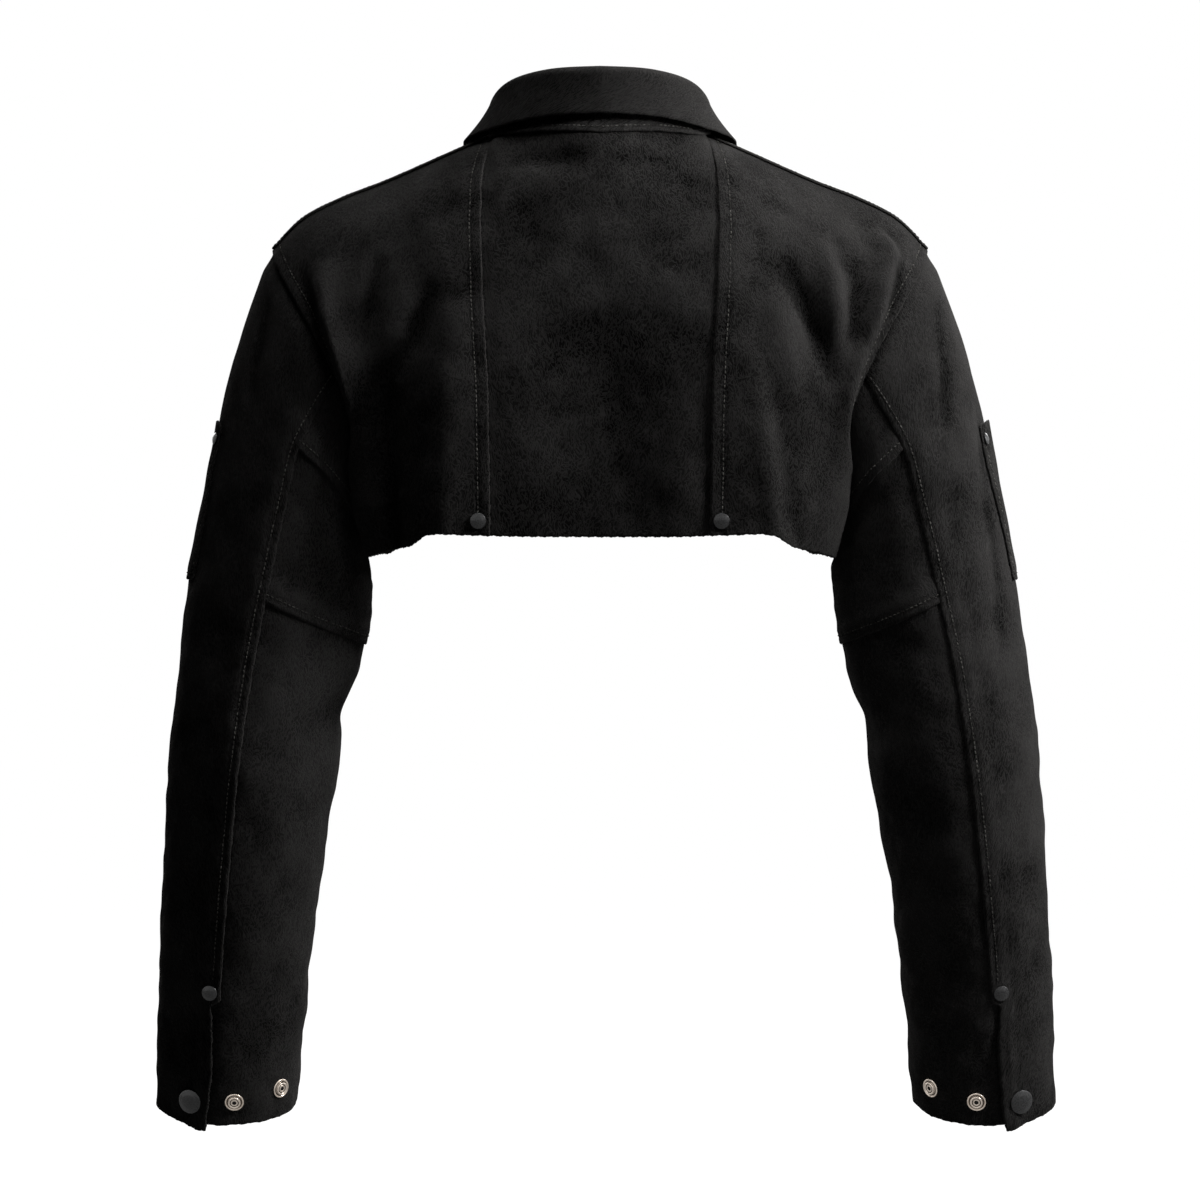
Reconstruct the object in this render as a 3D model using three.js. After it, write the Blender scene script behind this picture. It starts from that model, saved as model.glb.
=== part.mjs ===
// Welding cape sleeve: a cropped suede cape with two full sleeves, a turned-down collar and snap cuffs.
// Millimetres, +Z up. The wearer faces +Y, so the back of the cape looks along -Y and +X is the wearer's
// right. The origin is the base of the neck, between the shoulders that carry the cape.
import * as THREE from "three";

// Driving sizes
const LEATHER = 1.6; // thickness of the suede
const LAP = 2.6; // step between two lapped panels, middle to middle
const SEAM = 14; // width of a lapped seam
const REST = 0.3; // gap under a rivet, cap or stud
const ACROSS = 270; // length of the body's surface from its centre line to its side

const NECK = {
  halfWidth: 80,
  middleY: -12,
  backReach: 73,
  frontReach: 90,
  sideZ: 10,
  backDrop: 8.5,
  frontDrop: 79,
};
const NECK_POWER = 1.4; // how late the neckline leaves its highest point
const EASY_TOP = { back: 6, front: -45 }; // height to which the level lines ease out below the neckline
const ARMHOLE = {
  x: 214.5,
  z: -180,
  halfWidth: 36,
  halfHeight: 102,
  halfDepth: 78,
  backScoop: 16,
  frontScoop: 20,
};
const SIDE_HEM = { x: 167.2, z: -314 };
const FOLD_BACK = 95; // depth of the back beyond which a fold's place is also counted round the side
const HEM_LEVEL = 220; // level angle of the hem: 0 is the shoulder ridge and 180 the bottom of the armhole
const SHOULDER_SEAM = { backEdge: 11, frontEdge: 20 }; // level angles of the two edges that lap there
const FRONT_LAP = 18; // how far each front crosses the centre line
const FRONT_SNAPS = [-62, -110, -165]; // level angles of the snaps down the front
const TUCK = 12; // how far the top of a sleeve runs under the body
const UNDERARM_GAP = 7; // how far below the body's edge a sleeve starts under the arm
const SLEEVE_LENGTH = 600; // along the middle of a sleeve
const SLEEVE_GIRTH = 1.15; // length round a sleeve for one degree
const CUFF_CORNER = 4; // how far the outer panel's corner hangs below the cuff
const SLIT = 0.812; // where the cuff's slit starts, as a share of the sleeve
const SWAY = 4.2; // how far both cuffs hang to the wearer's right
const POCKET = { front: -46, back: 24, top: 0.147, bottom: 0.277, gape: { 1: 2.5, [-1]: 0.8 } };

// Shoulder line from the neck to the shoulder point.
const SHOULDER_LINE = [
  { x: 80, z: 10 },
  { x: 114, z: -4.5 },
  { x: 164, z: -26 },
  { x: 203, z: -41 },
  { x: 231, z: -55.5 },
  { x: 250.5, z: -78 },
];
// Height of the hem, from the centre line to the side.
const BACK_HEM = [
  { x: 0, z: -301 },
  { x: 60, z: -300.5 },
  { x: 100, z: -299 },
  { x: 122, z: -299.5 },
  { x: 138, z: -304 },
  { x: 153, z: -310 },
  { x: 167.2, z: -314 },
];
const FRONT_HEM = [
  { x: 0, z: -291 },
  { x: 110, z: -293 },
  { x: 167.2, z: -314 },
];
// Fullness of the torso by height, where rise is 0 at the hem and 1 at the top: how far the centre line of
// the back and of the front stand from the middle, and how square the corners are.
const TORSO = [
  { rise: 0, back: 110, front: 110, square: 4.6 },
  { rise: 0.3, back: 118, front: 121, square: 3.6 },
  { rise: 0.6, back: 121, front: 113, square: 2.8 },
  { rise: 0.85, back: 117, front: 103, square: 2.4 },
  { rise: 1, back: 112, front: 112, square: 2.2 },
];
// Seam between the centre back and the side back: its distance from the centre line.
const BACK_SEAM = [
  { rise: 0, x: 82 },
  { rise: 0.4, x: 84 },
  { rise: 0.6, x: 87 },
  { rise: 0.84, x: 88.6 },
  { rise: 0.93, x: 86.5 },
  { rise: 1, x: 82 },
];
// Sections of a sleeve: its middle, the reach to its outer side (outX, outZ) and to its back (backY, backZ).
const SLEEVE = [
  { along: 0, x: 214.5, y: 0, z: -180, outX: 36, outZ: 102, backY: 78, backZ: 0, scoop: 1 },
  { along: 0.1, x: 232.5, y: -2, z: -235, outX: 50.5, outZ: 66, backY: 77, backZ: 0, scoop: 0.35 },
  { along: 0.18, x: 238.5, y: -4, z: -283, outX: 60, outZ: 42, backY: 74, backZ: 0, scoop: 0.1 },
  { along: 0.27, x: 247, y: -6, z: -340, outX: 68.5, outZ: 14, backY: 71, backZ: 0, scoop: 0 },
  { along: 0.37, x: 258, y: -8, z: -400, outX: 66.5, outZ: 5, backY: 68, backZ: 0, scoop: 0 },
  { along: 0.49, x: 268.5, y: -8, z: -470, outX: 64.5, outZ: 2, backY: 65, backZ: 4, scoop: 0 },
  { along: 0.65, x: 279.5, y: 4, z: -560, outX: 60, outZ: 1, backY: 58, backZ: 10, scoop: 0 },
  { along: 0.82, x: 288.5, y: 22, z: -650, outX: 57, outZ: 0, backY: 51, backZ: 10, scoop: 0 },
  { along: 1, x: 295, y: 42, z: -738, outX: 54.5, outZ: 0, backY: 45, backZ: 14, scoop: 0 },
];
// Angle round the sleeve of the outer panel's back edge: 0 is outside, 90 the back, 180 inside.
const BACK_EDGE = [
  { along: 0, angle: 91 },
  { along: 0.15, angle: 89 },
  { along: 0.3, angle: 86 },
  { along: 0.6, angle: 84 },
  { along: 1, angle: 84 },
];
const FRONT_EDGE = -91; // angle of the outer panel's front edge
const SLIT_EDGE = 77; // angle of the outer panel's back edge below the slit
// Lower edges of the two gusset pieces under the arm, from the outer panel's edge to the inside of the arm.
const GUSSET_SEAMS = [
  { piece: "under_sleeve_top", atEdge: 0.1, atInside: 0.07 },
  { piece: "under_sleeve_gusset", atEdge: 0.287, atInside: 0.325 },
];
// Collar by angle round the neck from the centre back: heights of the band's base, the fold and the leaf's
// edge, and how far that edge stands out from the neckline.
const COLLAR = [
  { turn: 0, baseZ: 2, foldZ: 51.5, edgeZ: 16, edgeOut: 18 },
  { turn: 30, baseZ: 4.4, foldZ: 50, edgeZ: 14, edgeOut: 19 },
  { turn: 60, baseZ: 4.6, foldZ: 43, edgeZ: 8.5, edgeOut: 22 },
  { turn: 90, baseZ: 10.6, foldZ: 27, edgeZ: 3.5, edgeOut: 25.5 },
  { turn: 105, baseZ: 7.7, foldZ: 17.5, edgeZ: -1, edgeOut: 26 },
  { turn: 120, baseZ: -5, foldZ: 5, edgeZ: -11.5, edgeOut: 26 },
  { turn: 135, baseZ: -28, foldZ: -10, edgeZ: -33, edgeOut: 25 },
  { turn: 150, baseZ: -51, foldZ: -26, edgeZ: -62, edgeOut: 22 },
  { turn: 180, baseZ: -65, foldZ: -42, edgeZ: -88, edgeOut: 18 },
];
const BAND_END = 176; // angle at which the band stops at the front
const LEAF_END = 160; // angle at which the leaf stops at the front

// Folds of the body: a ridge, or a valley if its height is negative, from one place on the surface to
// another. across is the distance from the centre line, and an open fold runs out at the hem.
const BODY_FOLDS = [
  { side: 1, across: 222, z: -100, toAcross: 196, toZ: -195, width: 15, height: 8, open: false },
  { side: 1, across: 200, z: -150, toAcross: 185, toZ: -314, width: 14, height: 12, open: true },
  { side: 1, across: 117, z: -165, toAcross: 138, toZ: -308, width: 15, height: 8, open: true },
  { side: 1, across: 148, z: -110, toAcross: 174, toZ: -215, width: 13, height: -8, open: false },
  { side: 1, across: 158, z: -240, toAcross: 162, toZ: -312, width: 12, height: -4, open: true },
  { side: -1, across: 200, z: -150, toAcross: 185, toZ: -314, width: 14, height: 12, open: true },
  { side: -1, across: 190, z: -95, toAcross: 156, toZ: -300, width: 15, height: 8, open: true },
  { side: -1, across: 199, z: -115, toAcross: 178, toZ: -285, width: 11, height: -8, open: false },
  { side: -1, across: 146, z: -145, toAcross: 131, toZ: -308, width: 15, height: -8, open: true },
];
// Folds of the sleeves, from one angle round and share along a sleeve to another.
const SLEEVE_FOLDS = [
  { side: 1, angle: 30, along: 0.02, toAngle: 64, toAlong: 0.15, width: 10, height: -4 },
  { side: 1, angle: 22, along: 0.12, toAngle: 53, toAlong: 0.38, width: 9, height: -3 },
  { side: 1, angle: 118, along: 0.36, toAngle: 240, toAlong: 0.35, width: 20, height: 3 },
  { side: 1, angle: 118, along: 0.44, toAngle: 240, toAlong: 0.42, width: 18, height: -6 },
  { side: -1, angle: 30, along: 0.01, toAngle: 52, toAlong: 0.12, width: 10, height: -4 },
  { side: -1, angle: 118, along: 0.36, toAngle: 240, toAlong: 0.35, width: 20, height: 3 },
  { side: -1, angle: 118, along: 0.43, toAngle: 240, toAlong: 0.42, width: 18, height: -6 },
];

const suede = new THREE.MeshStandardMaterial({ color: 0x1d1c1c, roughness: 0.95, metalness: 0 });
const blackMetal = new THREE.MeshStandardMaterial({ color: 0x101012, roughness: 0.35, metalness: 0.6 });
const steel = new THREE.MeshStandardMaterial({ color: 0xb9bbbd, roughness: 0.3, metalness: 1 });

const cape = new THREE.Group();
cape.name = "welding_cape_sleeve";

const radians = THREE.MathUtils.degToRad;
const { lerp, smoothstep, clamp } = THREE.MathUtils;
const evenly = (from, to, count) => Array.from({ length: count + 1 }, (_, i) => lerp(from, to, i / count));

// Smooth curve through a table's rows, read at a value of the key column.
function read(table, key, at, column) {
  const last = table.length - 1;
  const next = table.findIndex((row) => row[key] > at);
  const i = next < 0 ? last - 1 : Math.max(next - 1, 0);
  const slope = (j) => (table[j + 1][column] - table[j][column]) / (table[j + 1][key] - table[j][key]);
  const tangent = (j) => (slope(Math.max(j - 1, 0)) + slope(Math.min(j, last - 1))) / 2;
  const span = table[i + 1][key] - table[i][key];
  const t = (at - table[i][key]) / span;
  const [a, b] = [table[i][column], table[i + 1][column]];
  const [da, db] = [tangent(i) * span, tangent(i + 1) * span];
  return a + t * (da + t * (3 * (b - a) - 2 * da - db + t * (2 * (a - b) + da + db)));
}

// Unit normal of a surface by finite steps, turned to the outside by facing.
function normalOf(point, u, v, facing, [stepU, stepV]) {
  const alongU = point(u + stepU, v).sub(point(u - stepU, v));
  const alongV = point(u, v + stepV).sub(point(u, v - stepV));
  return alongU.cross(alongV).normalize().multiplyScalar(facing);
}

// How high a level lies: 0 at the hem, 1 on the shoulder ridge.
function rise(level) {
  const angle = Math.abs(level);
  const height = ARMHOLE.z + ARMHOLE.halfHeight - SIDE_HEM.z;
  const at = (turn) => (ARMHOLE.z + ARMHOLE.halfHeight * Math.cos(radians(turn)) - SIDE_HEM.z) / height;
  return angle <= 180 ? at(angle) : (at(180) * (HEM_LEVEL - angle)) / (HEM_LEVEL - 180);
}

// Side edge of the body at a level: the armhole, then the short side below it.
function sideEdge(level) {
  const angle = Math.abs(level);
  const bottom = ARMHOLE.x - ARMHOLE.halfWidth;
  if (angle > 180) return { x: lerp(bottom, SIDE_HEM.x, (angle - 180) / (HEM_LEVEL - 180)), y: 0 };
  const [c, s] = [Math.cos(radians(angle)), Math.sin(radians(angle))];
  const scoop = level > 0 ? ARMHOLE.backScoop : ARMHOLE.frontScoop;
  return { x: ARMHOLE.x + ARMHOLE.halfWidth * c - scoop * s ** 3 * (1 - c / 2), y: ARMHOLE.halfDepth * s };
}

// Point of a rounded slice at an angle from straight back or front.
function onSlice(angle, square) {
  const [s, c] = [Math.sin(angle), Math.cos(angle)];
  const size = (Math.abs(s) ** square + Math.abs(c) ** square) ** (1 / square);
  return { across: s / size, out: c / size };
}

// Slice of the body at a level: how deep and square it is, and the angle at which the side edge cuts it.
function sliceAt(level) {
  const away = Math.max(Math.abs(level), 0.2);
  const up = rise(away);
  const depth = read(TORSO, "rise", up, level > 0 ? "back" : "front");
  const square = read(TORSO, "rise", up, "square");
  const round = Math.sqrt(1 - up ** 4);
  const cut = sideEdge(level > 0 ? away : -away).y / round / depth;
  const end = Math.atan2((1 - cut ** square) ** (1 / square), cut);
  return { depth, square, round, end, width: sideEdge(level).x / onSlice(end, square).across };
}

// Share of the way to the side edge at which a level's slice has a given x.
function shareAt(x, level) {
  const { square, end, width } = sliceAt(level);
  const across = Math.abs(x) / width;
  return (Math.sign(x) * Math.atan(across / (1 - across ** square) ** (1 / square))) / end;
}

// Top edge of the body over a distance x from the centre line: the neckline, then the shoulder line.
function topEdge(x, isBack) {
  if (x >= NECK.halfWidth) {
    const outward = (x - NECK.halfWidth) / (ARMHOLE.x + ARMHOLE.halfWidth - NECK.halfWidth);
    return { y: NECK.middleY * (1 - outward), z: read(SHOULDER_LINE, "x", x, "z") };
  }
  const middle = Math.sqrt(1 - (x / NECK.halfWidth) ** 2);
  return {
    y: NECK.middleY + (isBack ? -NECK.backReach : NECK.frontReach) * middle,
    z: NECK.sideZ - (isBack ? NECK.backDrop : NECK.frontDrop) * middle ** NECK_POWER,
  };
}

// Body surface before its folds. share runs from the centre line to the wearer's right side edge, or to the
// left one if negative; level runs from the shoulder ridge down the back, or down the front if negative.
function bodyForm(share, level) {
  const isBack = level > 0;
  const { depth, square, round, end, width } = sliceAt(level);
  const { across, out } = onSlice(share * end, square);
  const ridge = sliceAt(isBack ? 0.2 : -0.2);
  const top = topEdge(Math.abs(ridge.width * onSlice(share * ridge.end, ridge.square).across), isBack);
  const hemX = Math.min(Math.abs(width * across), SIDE_HEM.x);
  const hemZ = read(isBack ? BACK_HEM : FRONT_HEM, "x", hemX, "z");
  const settled = Math.abs(level) < 0.2 ? 0 : round;
  const up = rise(level);
  const outward = (width * across) / sideEdge(level).x;
  const easy = lerp(isBack ? EASY_TOP.back : EASY_TOP.front, ARMHOLE.z + ARMHOLE.halfHeight, outward ** 2);
  return new THREE.Vector3(
    width * across,
    settled * depth * out * (isBack ? -1 : 1) + (1 - settled) * top.y,
    lerp(hemZ, lerp(easy, top.z, up ** 4), up),
  );
}

// Height of a set of folds at a place on a surface, in the two lengths of that surface.
function foldHeight(folds, p, q) {
  let height = 0;
  for (const [p0, q0, p1, q1, width, size, open] of folds) {
    const [dp, dq] = [p1 - p0, q1 - q0];
    const t = clamp(((p - p0) * dp + (q - q0) * dq) / (dp * dp + dq * dq), 0, 1);
    const distance = Math.hypot(p - p0 - t * dp, q - q0 - t * dq);
    const taper = open ? Math.sin((Math.min(t * 2, 1) * Math.PI) / 2) : Math.sin(t * Math.PI);
    height += size * taper * Math.exp(-((distance / width) ** 2));
  }
  return height;
}

const onSide = (folds, side) => folds.filter((fold) => fold.side === side);
const bodyFolds = (side) =>
  onSide(BODY_FOLDS, side).map((f) => [f.across, f.z, f.toAcross, f.toZ, f.width, f.height, f.open]);
const sleeveFolds = (side) =>
  onSide(SLEEVE_FOLDS, side).map((f) => {
    const [p, q] = [f.angle * SLEEVE_GIRTH, f.along * SLEEVE_LENGTH];
    return [p, q, f.toAngle * SLEEVE_GIRTH, f.toAlong * SLEEVE_LENGTH, f.width, f.height, false];
  });
const FOLDS_OF_BODY = { 1: bodyFolds(1), [-1]: bodyFolds(-1) };
const FOLDS_OF_SLEEVE = { 1: sleeveFolds(1), [-1]: sleeveFolds(-1) };

// Body surface with its folds.
function body(share, level) {
  const place = bodyForm(share, level);
  if (level <= 0) return place;
  const side = share < 0 ? -1 : 1;
  const across = Math.abs(place.x) + Math.max(place.y + FOLD_BACK, 0) / 2;
  const height = foldHeight(FOLDS_OF_BODY[side], across, place.z);
  const [u, v] = [side * clamp(Math.abs(share), 0.002, 0.998), clamp(level, 0.3, HEM_LEVEL - 0.2)];
  const beside = smoothstep((1 - Math.abs(share)) * sliceAt(level).end, 0, 0.25);
  const edge = lerp(beside, 1, smoothstep(level, 140, 178)) * smoothstep(level, 8, 40);
  return place.addScaledVector(normalOf(bodyForm, u, v, -1, [1e-3, 0.1]), height * edge);
}

// A leather panel: the surface point(u, v) given a thickness, on its own lists of u and v.
function leather(name, us, vs, point, facing, lift = () => 0) {
  const steps = [(us.at(-1) - us[0]) / 2000, (vs.at(-1) - vs[0]) / 2000];
  const inside = (value, list, step) => clamp(value, list[0] + step, list.at(-1) - step);
  const positions = [];
  for (const half of [LEATHER / 2, -LEATHER / 2])
    for (const v of vs)
      for (const u of us) {
        const normal = normalOf(point, inside(u, us, steps[0]), inside(v, vs, steps[1]), facing, steps);
        positions.push(...point(u, v).addScaledVector(normal, lift(u, v) + half).toArray());
      }
  const [columns, rows] = [us.length, vs.length];
  const back = columns * rows;
  const at = (i, j) => j * columns + i;
  const indices = [];
  const quad = (a, b, c, d) => (facing > 0 ? indices.push(a, b, c, a, c, d) : indices.push(a, c, b, a, d, c));
  for (let j = 0; j < rows - 1; j++)
    for (let i = 0; i < columns - 1; i++) {
      quad(at(i, j), at(i + 1, j), at(i + 1, j + 1), at(i, j + 1));
      quad(back + at(i, j), back + at(i, j + 1), back + at(i + 1, j + 1), back + at(i + 1, j));
    }
  const rim = [
    ...us.slice(1).map((_, i) => [at(i, 0), at(i + 1, 0)]),
    ...vs.slice(1).map((_, j) => [at(columns - 1, j), at(columns - 1, j + 1)]),
    ...us.slice(1).map((_, i) => [at(i + 1, rows - 1), at(i, rows - 1)]),
    ...vs.slice(1).map((_, j) => [at(0, j + 1), at(0, j)]),
  ];
  for (const [a, b] of rim) quad(b, a, back + a, back + b);
  const geometry = new THREE.BufferGeometry();
  geometry.setAttribute("position", new THREE.Float32BufferAttribute(positions, 3));
  geometry.setIndex(indices);
  geometry.computeVertexNormals();
  const mesh = new THREE.Mesh(geometry, suede);
  mesh.name = name;
  cape.add(mesh);
  return mesh;
}

// Body panels

const LEVELS = [20, 31, 44, 58, 74, 91, 109, 128, 148, 165, 180, 200, 220];

// How many layers the back lies under the front along the shoulder.
const underFront = (level) => 1.3 * (1 - smoothstep(level, SHOULDER_SEAM.frontEdge, 44));

function backPanel() {
  const point = (u, v) => {
    const corner = smoothstep(Math.abs(u), 0.72, 0.86);
    const level = Math.max(v, lerp(1, SHOULDER_SEAM.backEdge, corner) + v / 100);
    return body(shareAt(u * (read(BACK_SEAM, "rise", rise(level), "x") + SEAM), level), level);
  };
  const lift = (u, level) => {
    const underSides = smoothstep(Math.abs(u), 0.5, 0.84);
    return -LAP * underSides * (1 + underFront(level));
  };
  const columns = [-1, -0.92, -0.84, ...evenly(-0.6, 0.6, 6), 0.84, 0.92, 1];
  leather("back_panel", columns, [1, 5, SHOULDER_SEAM.backEdge, ...LEVELS], point, -1, lift);
}

function sideBackPanel(side, name) {
  const point = (u, level) => {
    const inner = shareAt(read(BACK_SEAM, "rise", rise(level), "x"), level);
    return body(side * lerp(inner, 1, u), level);
  };
  const lift = (u, level) => -LAP * underFront(level);
  const columns = [...evenly(0, 0.93, 11), 1];
  leather("back_side_" + name, columns, [SHOULDER_SEAM.backEdge, ...LEVELS], point, -side, lift);
}

function frontPanel(side, name) {
  const neckShare = shareAt(NECK.halfWidth, 0);
  const point = (u, v) => {
    const reach = smoothstep(u, 0.28, 0.33);
    const top = lerp(-0.5, SHOULDER_SEAM.frontEdge, reach);
    const level = v > -LEVELS[0] ? lerp(-LEVELS[0], top, 1 + v / LEVELS[0]) : v;
    const centre = shareAt(-FRONT_LAP, Math.min(level, -1));
    const neck = u < 0.3 ? lerp(centre, neckShare, u / 0.3) : lerp(neckShare, 0.995, (u - 0.3) / 0.7);
    return body(side * neck, level);
  };
  const lift = (u) => (side > 0 ? -1.4 * LAP * (1 - smoothstep(u, 0.14, 0.27)) : 0);
  const levels = [...LEVELS.map((level) => -level).reverse(), -15, -10, -5, 0];
  const columns = [...evenly(0, 0.28, 3), 0.3, 0.315, ...evenly(0.33, 0.956, 7), 1];
  leather("front_" + name, columns, levels, point, -side, lift);
}

// Sleeves

// Sleeve surface before its folds, at an angle round it and a share along it.
function sleeveForm(side, angle, along) {
  const at = (column) => read(SLEEVE, "along", along, column);
  const [c, s] = [Math.cos(radians(angle)), Math.sin(radians(angle))];
  const scoop = (s > 0 ? ARMHOLE.backScoop : ARMHOLE.frontScoop) * at("scoop");
  return new THREE.Vector3(
    side * (at("x") + at("outX") * c - scoop * Math.abs(s) ** 3 * (1 - c / 2)) + SWAY * along * (2 - along),
    at("y") - at("backY") * s,
    at("z") + at("outZ") * c - at("backZ") * s,
  );
}

// Place on the body a way inside the armhole's edge, and the step to the layer of the sleeve there: under the
// body panels round the shoulder, outside them under the arm.
function atArmhole(side, angle, depth) {
  const level = angle > 180 ? angle - 360 : angle;
  const share = 1 - depth / ACROSS;
  const normal = normalOf(body, side * Math.min(share, 0.998), level, -1, [1e-3, 0.1]);
  const under = 1 - 2.4 * smoothstep(Math.abs(level), 109, 148);
  const layers = 1.7 - 0.7 * smoothstep(Math.abs(level), SHOULDER_SEAM.frontEdge, 44) + (0.4 * depth) / TUCK;
  return { place: body(side * share, level), step: normal.multiplyScalar(-1.5 * LAP * under * layers) };
}

// Sleeve surface: its top lies under the body, and the rest hangs free.
function sleeve(side, angle, along) {
  if (along < 0) {
    const { place, step } = atArmhole(side, angle, -along * SLEEVE_LENGTH);
    return place.add(step);
  }
  const place = sleeveForm(side, angle, along);
  const turn = angle < -90 ? angle + 360 : angle;
  const height = foldHeight(FOLDS_OF_SLEEVE[side], turn * SLEEVE_GIRTH, along * SLEEVE_LENGTH);
  const form = (u, v) => sleeveForm(side, u, v);
  place.addScaledVector(normalOf(form, angle, clamp(along, 0.001, 0.999), side, [0.1, 1e-3]), height);
  if (along > 0.03) return place;
  return place.addScaledVector(atArmhole(side, angle, 0).step, 1 - smoothstep(along, 0, 0.03));
}

// Share along the sleeve at which it starts, at an angle round it.
function sleeveTop(angle) {
  const level = Math.abs(angle > 180 ? angle - 360 : angle);
  return lerp(-TUCK, UNDERARM_GAP, smoothstep(level, 85, 106)) / SLEEVE_LENGTH;
}

const backEdge = (along) => read(BACK_EDGE, "along", along, "angle");

// How far the outer panel springs off the cuff beside its slit.
const outerLift = (turn, along) => 3 * smoothstep(turn, 50, 91) * smoothstep(along, SLIT, 1);
// How far the under panels are sunk beside the outer panel.
const underLift = (turn) => -LAP * (1 - smoothstep(Math.min(turn - 79, 281 - turn), 13, 22));

function outerSleeve(side, name) {
  const edge = (along) => lerp(backEdge(along), SLIT_EDGE, smoothstep(along, SLIT - 0.004, SLIT + 0.004));
  const point = (turn, along) => {
    const angle = turn > 58 ? lerp(58, edge(along), (turn - 58) / (91 - 58)) : turn;
    const corner = CUFF_CORNER * smoothstep(turn, 40, 91) * smoothstep(along, 0.9, 1);
    return sleeve(side, angle, along + corner / SLEEVE_LENGTH);
  };
  const turns = [FRONT_EDGE, -74, -58, -44, -31, -20, 0, 11, 20, 31, 44, 58, 74, 91];
  const upper = [sleeveTop(0), ...evenly(0, 0.1, 4), ...evenly(0.14, 0.3, 3), ...evenly(0.37, 0.78, 5)];
  const alongs = [...upper, SLIT - 0.005, SLIT + 0.005, 0.9, 1];
  leather("outer_sleeve_" + name, turns, alongs, point, side, outerLift);
}

function underSleeve(side, name) {
  const inside = (turn) => Math.sin(radians(clamp(turn - 91, 0, 178)) * (180 / 178));
  const seamAt = (seam, turn) => lerp(seam.atEdge, seam.atInside, inside(turn));
  const [upper, lower] = GUSSET_SEAMS;
  const [upperEdge, lowerEdge] = [(turn) => seamAt(upper, turn), (turn) => seamAt(lower, turn)];
  const lowerRows = [0, 0.05, ...evenly(0.15, 0.35, 5), ...evenly(0.47, 1, 5)];
  const pieces = [
    { piece: upper.piece, top: sleeveTop, bottom: upperEdge, rows: [0, ...evenly(0.15, 1, 4)] },
    { piece: lower.piece, top: upperEdge, bottom: lowerEdge, rows: [0, ...evenly(0.15, 1, 5)] },
    { piece: "under_sleeve_lower", top: lowerEdge, bottom: () => 1, rows: lowerRows },
  ];
  const turns = [79, 91, 109, 128, 148, 165, 180, 195, 212, 232, 251, 269, 281];
  pieces.forEach(({ piece, top, bottom, rows }, order) => {
    const start = (turn) => top(turn) - (order ? SEAM / SLEEVE_LENGTH : 0);
    const crease = (turn) => {
      return order ? lerp(start(turn), bottom(turn), 0.15) : Math.max(0, start(turn) + 0.003);
    };
    const along = (turn, v) => {
      if (v < 0.15) return lerp(start(turn), crease(turn), v / 0.15);
      return lerp(crease(turn), bottom(turn), (v - 0.15) / 0.85);
    };
    const point = (turn, v) => {
      const at = along(turn, v);
      const angle = turn < 148 ? lerp(148, backEdge(at), (148 - turn) / (148 - 91)) : turn;
      return sleeve(side, angle, at);
    };
    const lift = (turn, v) => {
      const below = (along(turn, v) - start(turn)) * SLEEVE_LENGTH;
      const underUpper = order ? 1 - smoothstep(below, SEAM, 2.5 * SEAM) : 0;
      return underLift(turn) - 1.2 * LAP * underUpper;
    };
    leather(piece + "_" + name, turns, rows, point, side, lift);
  });
}

function sleevePocket(side, name) {
  const point = (u, v) => {
    return sleeve(side, lerp(POCKET.front, POCKET.back, u), lerp(POCKET.top, POCKET.bottom, v));
  };
  const lift = (u, v) => LAP + POCKET.gape[side] * Math.sin(u * Math.PI) * (1 - v) ** 1.5;
  leather("sleeve_pocket_" + name, evenly(0, 1, 6), evenly(0, 1, 5), point, side, lift);
  const corners = [
    ["front", 0.07],
    ["back", 0.93],
  ];
  for (const [corner, u] of corners)
    turned(`pocket_rivet_${corner}_${name}`, dome(4.5, 2.4), blackMetal, point, u, 0.1, side, lift(u, 0.1));
}

// Collar

function aroundNeck(turn, out, z) {
  const [c, s] = [Math.cos(radians(turn)), Math.sin(radians(turn))];
  const reach = c > 0 ? NECK.backReach : NECK.frontReach;
  return new THREE.Vector3((NECK.halfWidth + out) * s, NECK.middleY - (reach + out) * c, z);
}

function collarBand() {
  const point = (turn, v) => {
    const at = (column) => read(COLLAR, "turn", Math.abs(turn), column);
    return aroundNeck(turn, 1 + 3 * (1 - v) ** 2, lerp(at("baseZ"), at("foldZ") - 7, v));
  };
  leather("collar_band", evenly(-BAND_END, BAND_END, 24), evenly(0, 1, 2), point, 1);
}

function collarLeaf() {
  const bend = 4;
  const point = (turn, v) => {
    const at = (column) => read(COLLAR, "turn", Math.abs(turn), column);
    const top = at("foldZ") - bend;
    if (v < 0.3) return aroundNeck(turn, -3, lerp(top - 0.6 * (at("foldZ") - at("baseZ") - 7), top, v / 0.3));
    if (v < 0.5) {
      const roll = ((v - 0.3) / 0.2) * Math.PI;
      return aroundNeck(turn, 1 - bend * Math.cos(roll), top + bend * Math.sin(roll));
    }
    const fall = (v - 0.5) / 0.5;
    const bow = 1.5 * Math.sin(fall * Math.PI);
    return aroundNeck(turn, lerp(1 + bend, at("edgeOut"), fall) - bow, lerp(top, at("edgeZ"), fall) + bow);
  };
  const steps = [0, 0.3, 0.35, 0.4, 0.45, 0.5, 0.75, 1];
  leather("collar_leaf", evenly(-LEAF_END, LEAF_END, 22), steps, point, -1);
}

// Rivets, caps and studs

// A turned piece of metal seated on a surface at (u, v), a gap above the leather.
function turned(name, profile, material, point, u, v, facing, lift = 0) {
  const geometry = new THREE.LatheGeometry(profile.map(([r, h]) => new THREE.Vector2(r, h)), 10);
  const normal = normalOf(point, u, v, facing, [1e-3, 1e-3]);
  const mesh = new THREE.Mesh(geometry, material);
  mesh.name = name;
  mesh.quaternion.setFromUnitVectors(new THREE.Vector3(0, 1, 0), normal);
  mesh.position.copy(point(u, v)).addScaledVector(normal, lift + LEATHER / 2 + REST);
  cape.add(mesh);
}

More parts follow.
